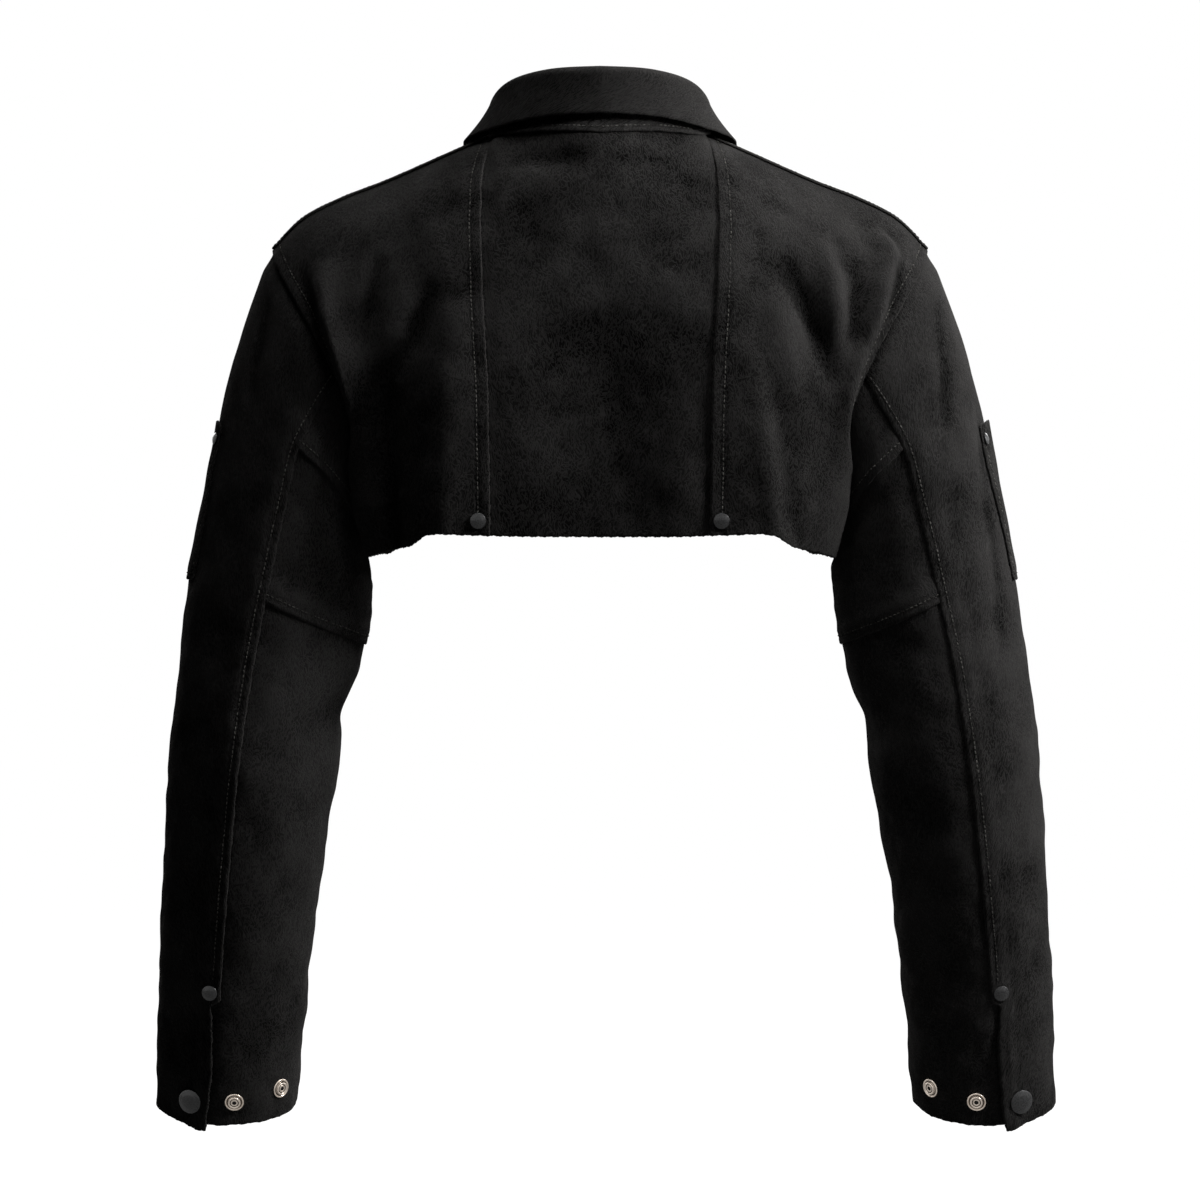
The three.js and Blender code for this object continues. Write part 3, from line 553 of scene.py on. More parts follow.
def grid_normal(middle, facing):
    """Unit cross product of the grid's own differences, turned to the outside."""
    across = np.cross(np.gradient(middle, axis=1), np.gradient(middle, axis=0))
    return facing * across / np.linalg.norm(across, axis=-1, keepdims=True)


def rim_loop(rows, columns):
    """The grid's outer points in order: along the top, down the right, back along the bottom, up the left."""
    ids = np.arange(rows * columns).reshape(rows, columns)
    return np.concatenate([ids[0, :-1], ids[:-1, -1], ids[-1, :0:-1], ids[:0:-1, 0]])


def quads_of(rows, columns, closed=False):
    """Four corners of each cell of a grid, whose last column meets its first one where the grid is closed."""
    ids = np.arange(rows * columns).reshape(rows, columns)
    below = np.roll(ids, -1, axis=0)
    cells = np.stack([ids, np.roll(ids, -1, axis=1), np.roll(below, -1, axis=1), below], axis=-1)
    return cells[:-1, : columns if closed else -1].reshape(-1, 4)


# %% Meshes
def mesh_of(name, points, faces):
    """A mesh object from points in millimetres and an array of four-cornered faces."""
    mesh = bpy.data.meshes.new(name)
    mesh.vertices.add(len(points))
    mesh.vertices.foreach_set("co", (points * MM).astype(np.float32).ravel())
    mesh.loops.add(faces.size)
    mesh.loops.foreach_set("vertex_index", faces.astype(np.int32).ravel())
    mesh.polygons.add(len(faces))
    mesh.polygons.foreach_set("loop_start", np.arange(0, faces.size, faces.shape[1], dtype=np.int32))
    mesh.update(calc_edges=True)
    mesh.validate()
    mesh.shade_smooth()
    obj = bpy.data.objects.new(name, mesh)
    bpy.context.scene.collection.objects.link(obj)
    return obj


def close_ends(obj):
    """Points that meet on an axis are merged, so that each end of a turned or spun shape is closed."""
    shape = bmesh.new()
    shape.from_mesh(obj.data)
    bmesh.ops.remove_doubles(shape, verts=shape.verts, dist=1e-7)
    shape.to_mesh(obj.data)
    shape.free()


def stand_for(obj, node, slot):
    """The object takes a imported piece's place on the one body and in its material slot."""
    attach(obj, "root")
    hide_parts(node)
    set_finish(obj, slot)


def store(obj, name, values):
    """A number for each point of the mesh, which its material can read."""
    attribute = obj.data.attributes.new(name, "FLOAT", "POINT")
    attribute.data.foreach_set("value", values.astype(np.float32))


def store_uv(obj, uv):
    """A UV map from one place for each point, in metres on the leather."""
    corners = np.empty(len(obj.data.loops), np.int32)
    obj.data.loops.foreach_get("vertex_index", corners)
    layer = obj.data.uv_layers.new(name="leather")
    layer.data.foreach_set("uv", uv[corners].astype(np.float32).ravel())


# %% A panel of leather
def standing_out(middle, normal):
    """How far each point stands out from the mean of its surroundings, which are averaged over and over with
    the next points of the grid: more than 0 on a ridge, less in a valley."""
    mean = middle
    for _ in range(SMOOTHINGS):
        for axis in (0, 1):
            wide = np.pad(mean, [(1, 1) if a == axis else (0, 0) for a in range(3)], mode="edge")
            before, after = (np.take(wide, range(i, i + mean.shape[axis]), axis=axis) for i in (0, 2))
            mean = (before + 2 * mean + after) / 4
    return ((middle - mean) * normal).sum(axis=-1)


def leather(node, us, vs, point, facing, lift=None):
    """The surface point(u, v), lifted, pressed in along its rows of stitches and thickened by half the leather
    either way, with a rounded rim."""
    u, v = np.meshgrid(us, vs)
    step_u, step_v = (us[-1] - us[0]) / 2000, (vs[-1] - vs[0]) / 2000
    inside_u = np.clip(u, us[0] + step_u, us[-1] - step_u)
    inside_v = np.clip(v, vs[0] + step_v, vs[-1] - step_v)
    normal = facing * normal_of(point, inside_u, inside_v, step_u, step_v)
    middle = point(u, v) + normal * (lift(u, v) if lift else np.zeros_like(u))[..., None]
    away = distances(middle)
    pressed = np.zeros_like(u)
    for edge, inset, *_ in row_for(SEWN_ROWS, node, ()):
        pucker = 1 + PUCKER * np.sin((away["top"] + away["left"]) / PUCKER_LENGTH)
        pressed += GROOVE["depth"] * pucker * np.exp(-(((away[edge] - inset) / GROOVE["width"]) ** 2))
    middle = middle - normal * pressed[..., None]
    normal = grid_normal(middle, facing)
    rows, columns = u.shape
    count = rows * columns
    loop = rim_loop(rows, columns)
    flat_middle, flat_normal = middle.reshape(-1, 3), normal.reshape(-1, 3)
    along = np.roll(flat_middle[loop], -1, axis=0) - np.roll(flat_middle[loop], 1, axis=0)
    outward = np.cross(along, flat_normal[loop]) * facing
    outward /= np.linalg.norm(outward, axis=-1, keepdims=True)
    quick, quicker = (np.arange(len(loop)) * wave for wave in RAGGED_WAVES)
    ragged = RAGGED * (np.sin(quick) + np.sin(quicker + 1.0)) / 2
    rim = flat_middle[loop] + outward * (RIM + ragged)[:, None]
    half = flat_normal * LEATHER / 2
    points = np.concatenate([flat_middle + half, flat_middle - half, rim])
    outer = quads_of(rows, columns)
    following = np.roll(loop, -1)
    rim_ids = 2 * count + np.arange(len(loop))
    rim_next = np.roll(rim_ids, -1)
    upper = np.stack([following, loop, rim_ids, rim_next], axis=-1)
    lower = np.stack([rim_next, rim_ids, loop + count, following + count], axis=-1)
    faces = np.concatenate([outer, outer[:, ::-1] + count, upper, lower])
    obj = mesh_of(node + "_leather", points, faces if facing > 0 else faces[:, ::-1])
    edge = np.minimum.reduce(list(away.values())).ravel()
    store(obj, "edge", np.concatenate([edge, edge, np.full(len(loop), -1.0)]))
    # how far each point stands out, from which the suede paints highlight on ridges and shade in valleys and
    # grooves
    ridge = standing_out(middle, normal).ravel()
    store(obj, "ridge", np.concatenate([ridge, -ridge, ridge[loop]]))
    flat_uv = np.stack([away["left"], away["top"]], axis=-1).reshape(-1, 2) * MM
    store_uv(obj, np.concatenate([flat_uv, flat_uv, flat_uv[loop]]))
    PANELS[node] = {"obj": obj, "surface": middle + normal * LEATHER / 2, "normal": normal, "away": away}
    stand_for(obj, node, "suede")
    print(f"{node}: {rows} by {columns} points, {len(faces)} faces")


# %% [markdown]
# ## The back
# The centre back lies under the two side backs. Each side back has a cut edge down its seam and a row of
# stitches a finger's width beside it.

# %% Back panels
SIDES = ((1, "right"), (-1, "left"))
BACK_LIFT, LIFTED = 2.3, (12, 95)  # how far a side back rises at its seam, and where it settles beside it
UNDER_SHOULDER = 0.95  # layers by which the back lies under the front along the shoulder
STRAIGHT_X, STRAIGHT_SHARE = 150.0, 0.4  # where the straight columns of a side back end
CORNER, UNDER_SIDE, SUNK = (0.72, 0.86), (0.81, 0.855), (0.845, 0.89)  # shares of the centre back's half width


def under_front(level):
    """How many layers the back lies under the front along the shoulder."""
    return UNDER_SHOULDER * (1 - smoothstep(level, SHOULDER_FRONT_EDGE, SHOULDER_SETTLED))


def back_seam(level):
    """Distance of the back seam from the centre line."""
    return read(BACK_SEAM, "rise", rise(level), "x")


def back_panel():
    """Columns run from one seam to the other; near the corners the top edge drops under the shoulder."""

    def point(u, v):
        corner = smoothstep(np.abs(u), *CORNER)
        level = np.maximum(v, lerp(1, SHOULDER_BACK_EDGE, corner) + v / 100)
        return body(share_at(u * (back_seam(level) + SEAM), level), level)

    def lift(u, level):
        beside = smoothstep(np.abs(u), *UNDER_SIDE)
        return -SINK * smoothstep(np.abs(u), *SUNK) - LAP * beside * under_front(level)

    rows = rows_down([1, SHOULDER_BACK_EDGE, 6, 11], 80)
    leather("back_panel", np.linspace(-1, 1, 161), rows, point, -1, lift)


def seam_lift(from_seam):
    """How far a side back stands off the form beside its seam."""
    return BACK_LIFT * (1 - smoothstep(from_seam, *LIFTED))


def side_back(side, name):
    """Columns run straight down beside the back seam, and spread out to the side edge beyond that."""

    def point(u, level):
        straight = share_at(lerp(back_seam(level), STRAIGHT_X, np.minimum(u / STRAIGHT_SHARE, 1)), level)
        spread = np.maximum(u - STRAIGHT_SHARE, 0) / (1 - STRAIGHT_SHARE)
        return body(side * lerp(straight, 1, spread), level)

    def lift(u, level):
        from_seam = (STRAIGHT_X - back_seam(level)) * u / STRAIGHT_SHARE
        return seam_lift(from_seam) * smoothstep(level, 14, SHOULDER_SETTLED) - LAP * under_front(level)

    rows = rows_down([SHOULDER_BACK_EDGE, 6, 11], 74)
    leather("back_side_" + name, np.linspace(0, 1, 121), rows, point, -side, lift)


back_panel()
for side, name in SIDES:
    side_back(side, name)

# %% [markdown]
# ## The fronts
# Each front reaches over the shoulder and laps on the back. The left front lies over the right one, and the
# snaps close them.

# %% Front panels
FRONT_LAP = 18.0  # how far each front crosses the centre line
NECK_COLUMN, NECK_TURN = 0.3, (0.28, 0.33)  # share of the columns at the neck's side, and the turn beside it
UNDERLAP, UNDER_LAPS = (0.14, 0.27), 1.4  # where the right front lies under the left one, and how many laps


def front(side, name):
    """Columns run from the front edge to the neck's side, then to the shoulder point; rows run up from the
    hem and over the ridge."""
    neck_share, side_share = share_at(NECK["half_width"], 0.0), 0.995

    def point(u, v):
        top = lerp(-0.5, SHOULDER_FRONT_EDGE, smoothstep(u, *NECK_TURN))
        level = np.where(v > -UPPER_LEVELS[0], lerp(-UPPER_LEVELS[0], top, 1 + v / UPPER_LEVELS[0]), v)
        centre = share_at(-FRONT_LAP, np.minimum(level, -1))
        to_neck = lerp(centre, neck_share, u / NECK_COLUMN)
        past = lerp(neck_share, side_share, (u - NECK_COLUMN) / (1 - NECK_COLUMN))
        return body(side * np.where(u < NECK_COLUMN, to_neck, past), level)

    def lift(u, v):
        return -UNDER_LAPS * LAP * (1 - smoothstep(u, *UNDERLAP)) if side > 0 else np.zeros_like(u)

    before, turned, after = np.linspace(0, 0.28, 30), np.linspace(0.284, 0.33, 14), np.linspace(0.337, 1, 56)
    columns = np.concatenate([before, turned, after])
    rows = -rows_down([0, 5, 10, 15], 60)[::-1]
    leather("front_" + name, columns, rows, point, -side, lift)


for side, name in SIDES:
    front(side, name)

# %% [markdown]
# ## The sleeves
# The outer panel laps over three under panels, which lap over each other. Below the slit the outer panel is
# free, so that the cuff can open.

# %% Sleeve panels
GUSSET_SEAMS = (("under_sleeve_top", 0.1, 0.07), ("under_sleeve_gusset", 0.287, 0.325))
BENT_OUTER, BENT_UNDER = 58.0, 148.0  # angles beyond which the columns follow the back edge
SLIT_CORNER = 0.004  # half the share of the sleeve over which the edge steps back at the slit
CORNER_ANGLES, CORNER_ROWS = (40, OUTER_EDGE), (0.9, 1)  # where the cuff's corner hangs lower


def back_edge(along):
    """Angle of the outer panel's back edge."""
    return read(BACK_EDGE, "along", along, "angle")


def outer_sleeve(side, name):
    """Columns run round the outside from the front edge to the back edge, which steps back at the slit."""

    def point(turn, along):
        below = np.clip((along - SLIT) / (1 - SLIT), 0, 1)
        free = SLIT_EDGE + SLIT_BOW * np.sin(below * np.pi)
        edge = lerp(back_edge(along), free, smoothstep(along, SLIT - SLIT_CORNER, SLIT + SLIT_CORNER))
        bent = lerp(BENT_OUTER, edge, (turn - BENT_OUTER) / (OUTER_EDGE - BENT_OUTER))
        angle = np.where(turn > BENT_OUTER, bent, turn)
        corner = CUFF_CORNER * smoothstep(turn, *CORNER_ANGLES) * smoothstep(along, *CORNER_ROWS)
        return sleeve(side, angle, along + corner / SLEEVE_LENGTH)

    rows = np.concatenate([np.linspace(sleeve_top(0.0), 0, 6)[:-1], np.linspace(0, 1, 222)])
    columns = np.linspace(-OUTER_EDGE, OUTER_EDGE, 86)
    leather("outer_sleeve_" + name, columns, rows, point, side, outer_lift)


def under_sleeve(side, name):
    """Three panels in a row down the inside of the arm, each tucked under the one above it."""

    def seam_at(at_edge, at_inside, turn):
        round_it = np.clip((turn - OUTER_EDGE) / (360 - 2 * OUTER_EDGE), 0, 1)
        return lerp(at_edge, at_inside, np.sin(round_it * np.pi))

    (top_name, *top_seam), (gusset_name, *gusset_seam) = GUSSET_SEAMS
    pieces = (
        (top_name, sleeve_top, lambda turn: seam_at(*top_seam, turn), 44),
        (gusset_name, lambda turn: seam_at(*top_seam, turn), lambda turn: seam_at(*gusset_seam, turn), 64),
        ("under_sleeve_lower", lambda turn: seam_at(*gusset_seam, turn), lambda turn: 1.0 + 0 * turn, 160),
    )
    for order, (piece, top, bottom, rows) in enumerate(pieces):
        tuck = SEAM / SLEEVE_LENGTH if order else 0.0

        def along(turn, v, top=top, bottom=bottom, tuck=tuck):
            return lerp(top(turn) - tuck, bottom(turn), v)

        def point(turn, v, along=along):
            at = along(turn, v)
            bent = lerp(BENT_UNDER, back_edge(at), (BENT_UNDER - turn) / (BENT_UNDER - OUTER_EDGE))
            return sleeve(side, np.where(turn < BENT_UNDER, bent, turn), at)

        def lift(turn, v, along=along, order=order):
            below = (along(turn, v) - along(turn, 0.0)) * SLEEVE_LENGTH
            above = (along(turn, 1.0) - along(turn, v)) * SLEEVE_LENGTH
            sunk = SINK * (1 - smoothstep(below, SEAM - 4, SEAM)) if order else 0.0
            raised = LAP_LIFT * (1 - smoothstep(above, 7, 22)) if order < 2 else 0.0
            return under_lift(turn) - sunk + raised

        columns = np.linspace(UNDER_FROM, UNDER_TO, 90)
        leather(piece + "_" + name, columns, np.linspace(0, 1, rows), point, side, lift)


for side, name in SIDES:
    outer_sleeve(side, name)
    under_sleeve(side, name)

# %% [markdown]
# ## The pockets
# A patch pocket sits on the outside of each upper arm. Its mouth gapes a little, and its other three edges
# are sewn down.

# %% Pockets
POCKET = {"front": -46, "back": 24, "top": 0.147, "bottom": 0.277}
POCKET_GAPE = {1: 2.5, -1: 0.8}


def on_pocket(side, u, v):
    """Place on the sleeve under the pocket, u from its front to its back edge and v from its mouth down."""
    return sleeve(side, lerp(POCKET["front"], POCKET["back"], u), lerp(POCKET["top"], POCKET["bottom"], v))


def pocket_lift(side, u, v):
    """One lap above the sleeve, and a bow at the mouth."""
    return LAP + POCKET_GAPE[side] * np.sin(u * np.pi) * (1 - v) ** 1.5


def pocket(side, name):
    """The sleeve's surface between four edges, lifted off it."""
    columns, rows = np.linspace(0, 1, 56), np.linspace(0, 1, 60)
    point, lift = (lambda u, v: on_pocket(side, u, v)), (lambda u, v: pocket_lift(side, u, v))
    leather("sleeve_pocket_" + name, columns, rows, point, side, lift)


for side, name in SIDES:
    pocket(side, name)

# %% [markdown]
# ## The collar
# The collar is a band that stands round the neck and a leaf that is sewn to its top, rolls over and falls
# outward. Both follow the neckline's oval, at heights that a table gives from the back to the front.

# %% Collar
COLLAR = table(
    "turn base_z fold_z edge_z edge_out foot_out",
    (0, 2, 51.5, 17, 6.5, 8.2),
    (30, 4.4, 50, 15, 8, 5.2),
    (60, 4.6, 43, 9, 14, 8.4),
    (90, 10.6, 27, 3.5, 24, 3),
    (105, 7.7, 17.5, -1, 26, 3),
    (120, -5, 5, -11.5, 26, 3),
    (135, -28, -10, -33, 25, 3),
    (150, -51, -26, -62, 22, 3),
    (180, -65, -42, -88, 18, 3),
)
BAND_END, LEAF_END = 176.0, 160.0  # angles round the neck at which the band and the leaf stop
BEND = 4.0  # radius of the roll at the top
ROLL_FROM, ROLL_TO = 0.3, 0.5  # shares of the leaf's length between which it rolls over
BAND_SHORT = 7.0  # how far below the fold the band ends
FLARE = 0.28  # share of the band's height over which its foot flares
INSIDE, HIDDEN, BOW = -3.0, 0.6, 1.5  # where the leaf starts inside the band, how far down, and its bow outside


def around_neck(turn, out, z):
    """Point of the neckline's oval, moved outward, at a height."""
    c, s = np.cos(np.radians(turn)), np.sin(np.radians(turn))
    reach = np.where(c > 0, NECK["back"], NECK["front"])
    x, y = (NECK["half_width"] + out) * s, NECK["middle_y"] - (reach + out) * c
    return np.stack(np.broadcast_arrays(x, y, z), axis=-1)


def collar_at(turn, column):
    """A measure of the collar at an angle round the neck."""
    return read(COLLAR, "turn", np.abs(turn), column)


def band_point(turn, v):
    """A strip from the neckline up to just below the fold, whose foot flares out to lie on the back."""
    base, fold = collar_at(turn, "base_z"), collar_at(turn, "fold_z")
    flare = collar_at(turn, "foot_out") * (1 - smoothstep(v, 0, FLARE))
    return around_neck(turn, 1 + flare, lerp(base, fold - BAND_SHORT, v))


def leaf_point(turn, v):
    """Up inside the band, over a half circle, and down to the leaf's edge with a slight bow."""
    base, fold = collar_at(turn, "base_z"), collar_at(turn, "fold_z")
    top = fold - BEND
    start = top - HIDDEN * (fold - base - BAND_SHORT)
    inside = around_neck(turn, INSIDE, lerp(start, top, v / ROLL_FROM))
    roll = (v - ROLL_FROM) / (ROLL_TO - ROLL_FROM) * np.pi
    over = around_neck(turn, 1 - BEND * np.cos(roll), top + BEND * np.sin(roll))
    fall = (v - ROLL_TO) / (1 - ROLL_TO)
    bow = BOW * np.sin(fall * np.pi)
    out, height = collar_at(turn, "edge_out"), collar_at(turn, "edge_z")
    down = around_neck(turn, lerp(1 + BEND, out, fall) - bow, lerp(top, height, fall) + bow)
    v = v[..., None]
    return np.where(v < ROLL_FROM, inside, np.where(v < ROLL_TO, over, down))


columns, rows = np.linspace(-BAND_END, BAND_END, 201), np.linspace(0, 1, 28)
leather("collar_band", columns, rows, band_point, 1)
inside, rolled = np.linspace(0, ROLL_FROM, 8), np.linspace(ROLL_FROM, ROLL_TO, 15)
rows = np.concatenate([inside[:-1], rolled[:-1], np.linspace(ROLL_TO, 1, 26)])
leather("collar_leaf", np.linspace(-LEAF_END, LEAF_END, 201), rows, leaf_point, -1)

# %% [markdown]
# ## Rivets, caps and studs
# Each of these is turned metal, so a profile spun about an axis makes it. The axis stands on the leather
# where the piece is set.

# %% Turned metal
SPOKES = 48
SET_IN = 0.2  # how far a piece sinks into the leather


def spun(node, profile, slot, place, normal):
    """The profile's radius and height, carried round the normal at a place."""
    radius, height = np.array(profile, float).T
    turn = np.linspace(0, 2 * np.pi, SPOKES, endpoint=False)
    side_x = np.cross(normal, [0.0, 0.0, 1.0])
    side_x /= np.linalg.norm(side_x)
    side_y = np.cross(normal, side_x)
    ring = np.cos(turn)[:, None] * side_x + np.sin(turn)[:, None] * side_y
    points = place + radius[:, None, None] * ring + height[:, None, None] * normal
    obj = mesh_of(node + "_turned", points.reshape(-1, 3), quads_of(len(radius), SPOKES, True))
    # depth of each ring below the rings outside it, where the metal gets painted shade
    store(obj, "hollow", np.repeat(np.maximum.accumulate(height) - height, SPOKES))
    close_ends(obj)
    stand_for(obj, node, slot)


def arc(centre_r, centre_h, reach_r, reach_h, start, end, count=7):
    """Points of an elliptical arc in a profile, from one angle to another in degrees."""
    turn = np.radians(np.linspace(start, end, count))
    return [(centre_r + reach_r * math.cos(t), centre_h + reach_h * math.sin(t)) for t in turn]


def dome(radius, height):
    """A rivet's head: a low rim that rolls over into a shallow dome."""
    rim = 0.3 * height
    rolled = arc(radius - rim, rim, rim, rim, 0, 60, 5)
    crown = arc(0, rim, radius - rim, height - rim, 30, 90, 12)
    return [(0, 0), (radius, 0), *rolled, *crown[:-1], (0, height)]


def stud(radius):
    """A snap's stud: a flange with a rolled lip, a groove, a round collar and a boss with a deep hole."""
    lip = arc(radius - 0.7, 0.7, 0.7, 0.7, 0, 150, 7)
    collar = arc(0.56 * radius, 1.9, 0.11 * radius, 0.7, -30, 190, 9)
    boss = arc(0.3 * radius, 1.9, 0.1 * radius, 0.5, 0, 180, 7)
    groove, step, hole = (0.74 * radius, 0.45), (0.43 * radius, 0.9), (0.18 * radius, 0.5)
    return [(0, 0), (radius, 0), *lip, groove, *collar, step, *boss, hole, (0, 0.4)]


def seat(point, u, v, facing, lift=0.0):
    """Place and normal on the outer face of a surface."""
    u, v = np.array([float(u)]), np.array([float(v)])
    normal = facing * normal_of(point, u, v, 1e-3, 1e-3)[0]
    return point(u, v)[0] + normal * (lift + LEATHER / 2 - SET_IN), normal


# %% Setting the metal
RIVET, SMALL_RIVET, CAP, SNAP, STUD = dome(6, 2.8), dome(4.5, 2.4), dome(9.5, 3.6), dome(7.5, 3.0), stud(7.4)
FRONT_SNAPS = (-62, -110, -165)  # levels
BACK_RIVET = (90.5, 209)  # distance from the centre line, and level
SLIT_RIVET, CUFF_CAP = (76.0, 0.796), (64.0, 0.965)  # angle round the sleeve and share along it
STUDS = {"back": (99, 0.963), "inner": (140, 0.955)}
POCKET_RIVETS = {"front": (0.07, 0.1), "back": (0.93, 0.1)}
CAP_EDGE = 72.0  # angle at the cap's far edge, where the leather under it is highest
CLEAR = 0.4  # how far a cap stands off
for i, level in enumerate(FRONT_SNAPS):
    place, normal = seat(lambda x, at: body(share_at(x, at), at), -0.01, level, -1, CLEAR)
    spun(f"front_snap_{i + 1}", SNAP, "black_metal", place, normal)

for side, name in SIDES:
    on_body = lambda x, level: body(side * share_at(x, level), level)
    on_sleeve = lambda angle, along: sleeve(side, angle, along)
    corner = lambda u, v: on_pocket(side, u, v)
    spun("back_rivet_" + name, RIVET, "black_metal", *seat(on_body, *BACK_RIVET, -side, BACK_LIFT))
    set_off = outer_lift(*SLIT_RIVET)
    spun("slit_rivet_" + name, RIVET, "black_metal", *seat(on_sleeve, *SLIT_RIVET, side, set_off))
    set_off = outer_lift(CAP_EDGE, CUFF_CAP[1]) + CLEAR
    spun("cuff_cap_" + name, CAP, "black_metal", *seat(on_sleeve, *CUFF_CAP, side, set_off))
    for end, at in STUDS.items():
        spun(f"cuff_stud_{end}_{name}", STUD, "steel", *seat(on_sleeve, *at, side))
    for end, at in POCKET_RIVETS.items():
        set_off = float(pocket_lift(side, *at))
        spun(f"pocket_rivet_{end}_{name}", SMALL_RIVET, "black_metal", *seat(corner, *at, side, set_off))
print("rivets, caps and studs set")

# %% [markdown]
# ## Stitches
# Grey thread shows on every lapped seam, as a row of short stitches. A dashed texture would look flat up
# close, so each stitch is a small bent capsule, and all the stitches of a panel are one mesh.

# %% Stitches
PITCH, STITCH, THREAD = 3.6, 2.9, 0.42  # from stitch to stitch, length of one, and its radius
RINGS, THREAD_SIDES = 6, 6
RAISED, DIP = 0.25, 0.5  # how high a stitch stands, and how far its ends dip
TILT = 0.12  # slant of a stitch, which changes from one to the next


def seam_line(panel, edge, inset):
    """Points and normals on a panel's outer face at a distance inside one of its edges."""
    surface, normal, away = panel["surface"], panel["normal"], panel["away"][edge]
    axis, _ = EDGES[edge]
    if axis == 0:
        surface, normal, away = surface.swapaxes(0, 1), normal.swapaxes(0, 1), away.T
    inside = (away < inset).sum(axis=1)
    columns = away.shape[1]
    at = np.clip(np.where(away[:, 0] < away[:, -1], inside, columns - inside), 1, columns - 1)
    row = np.arange(len(away))
    before, after = away[row, at - 1], away[row, at]
    t = ((inset - before) / (after - before))[:, None]
    return lerp(surface[row, at - 1], surface[row, at], t), lerp(normal[row, at - 1], normal[row, at], t)


def stitch_frames(points, normals, start, end):
    """Middle, direction and normal of each stitch along a line, between two lengths along it."""
    length = np.concatenate([[0], np.cumsum(np.linalg.norm(np.diff(points, axis=0), axis=1))])
    at = np.arange(start + PITCH, length[-1] - end, PITCH)
    pick = lambda values, where: np.stack([np.interp(where, length, column) for column in values.T], axis=1)
    middle, normal = pick(points, at), pick(normals, at)
    along = pick(points, at + 0.5) - pick(points, at - 0.5)
    along /= np.linalg.norm(along, axis=1, keepdims=True)
    normal -= along * (normal * along).sum(axis=1, keepdims=True)
    return middle, along, normal / np.linalg.norm(normal, axis=1, keepdims=True)


def stitch_rows(name, lines):
    """A capsule whose ends dip into the leather, repeated on every frame of the given lines."""
    middle, along, normal = (np.concatenate(parts) for parts in zip(*lines))
    across = np.cross(normal, along)
    s = np.linspace(-1, 1, RINGS)
    turn = np.linspace(0, 2 * np.pi, THREAD_SIDES, endpoint=False)
    thick = THREAD * np.sqrt(1 - s**4)
    local = np.stack(
        [
            np.repeat(s[:, None] * STITCH / 2, THREAD_SIDES, axis=1),
            thick[:, None] * np.cos(turn),
            (RAISED - DIP * s**4)[:, None] + thick[:, None] * np.sin(turn),
        ],
        axis=-1,
    ).reshape(-1, 3)
    tilt = TILT * np.sin(np.arange(len(middle)) * 1.9)[:, None]
    along, across = along + across * tilt, across - along * tilt
    axes = np.stack([along, across, normal], axis=1)
    points = middle[:, None] + np.einsum("pk,nkd->npd", local, axes)
    first = np.arange(len(middle)) * len(local)
    faces = (first[:, None, None] + quads_of(RINGS, THREAD_SIDES, True)).reshape(-1, 4)
    obj = mesh_of("stitches_" + name, points.reshape(-1, 3), faces)
    close_ends(obj)
    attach(obj, "root")
    print(f"{len(middle)} stitches on {name}, {2 * len(faces)} triangles")
    return obj


STITCHED = {}
for node, panel in PANELS.items():
    rows = row_for(SEWN_ROWS, node, ())
    if rows:
        lines = [stitch_frames(*seam_line(panel, edge, inset), *free) for edge, inset, *free in rows]
        STITCHED[node] = stitch_rows(node, lines)

# %% [markdown]
# ## Suede
# Split leather has a short nap: fine strokes that catch the light one way and swallow it the other, brushed
# into lighter and darker patches by wear. Its colour is also painted paler on the ridges of the folds and
# darker in their valleys and in the seams' grooves: painted highlight and painted shade. The strokes follow
# the leather's own UV map, so that they turn with each panel, and the patches follow its place on the body.


# %% Node helpers
def node_group(name, inputs, outputs):
    """An empty shader group with named inputs and outputs, each of a kind."""
    group = bpy.data.node_groups.new(name, "ShaderNodeTree")
    for in_out, sockets in (("INPUT", inputs), ("OUTPUT", outputs)):
        for socket, kind in sockets.items():
            group.interface.new_socket(socket, in_out=in_out, socket_type="NodeSocket" + kind)
    return group, group.nodes.new("NodeGroupInput"), group.nodes.new("NodeGroupOutput")


def feed(tree, made, inputs):
    """Each named input of a node set to a value, or linked to the socket that feeds it."""
    for key, value in inputs.items():
        if isinstance(value, bpy.types.NodeSocket):
            tree.links.new(value, made.inputs[key])
        else:
            made.inputs[key].default_value = value


def add(tree, kind, inputs=None, **settings):
    """A new node with its settings and its inputs."""
    made = tree.nodes.new(kind)
    for key, value in settings.items():
        setattr(made, key, value)
    feed(tree, made, inputs or {})
    return made


def ramp(tree, value, low, high, to_low=0.0, to_high=1.0):
    """A value carried smoothly from one range to another."""
    ends = {"From Min": low, "From Max": high, "To Min": to_low, "To Max": to_high}
    made = add(tree, "ShaderNodeMapRange", {"Value": value} | ends, interpolation_type="SMOOTHSTEP")
    return made.outputs["Result"]


def math_node(tree, operation, a, b):
    """Two values put together by one operation."""
    return add(tree, "ShaderNodeMath", {0: a, 1: b}, operation=operation).outputs[0]


def weigh(tree, a, share_a, b, share_b):
    """a times its share plus b times its share."""
    weighed = (math_node(tree, "MULTIPLY", *pair) for pair in ((a, share_a), (b, share_b)))
    return math_node(tree, "ADD", *weighed)


def noise(tree, vector, scale, detail, roughness=0.5):
    """The outputs of a noise texture."""
    given = {"Vector": vector, "Scale": scale, "Detail": detail, "Roughness": roughness}
    return add(tree, "ShaderNodeTexNoise", given).outputs


def mix(tree, factor, a, b):
    """The colour that is a at factor 0 and b at factor 1."""
    return add(tree, "ShaderNodeMix", {"Factor": factor, "A": a, "B": b}, data_type="RGBA").outputs["Result"]


def attribute(tree, name):
    """A value that the mesh carries at its points."""
    return add(tree, "ShaderNodeAttribute", attribute_name=name).outputs["Fac"]


def new_material(name):
    """A material, its node tree and its main shader."""
    material = bpy.data.materials.new(name)
    material.use_nodes = True
    return material, material.node_tree, material.node_tree.nodes["Principled BSDF"]


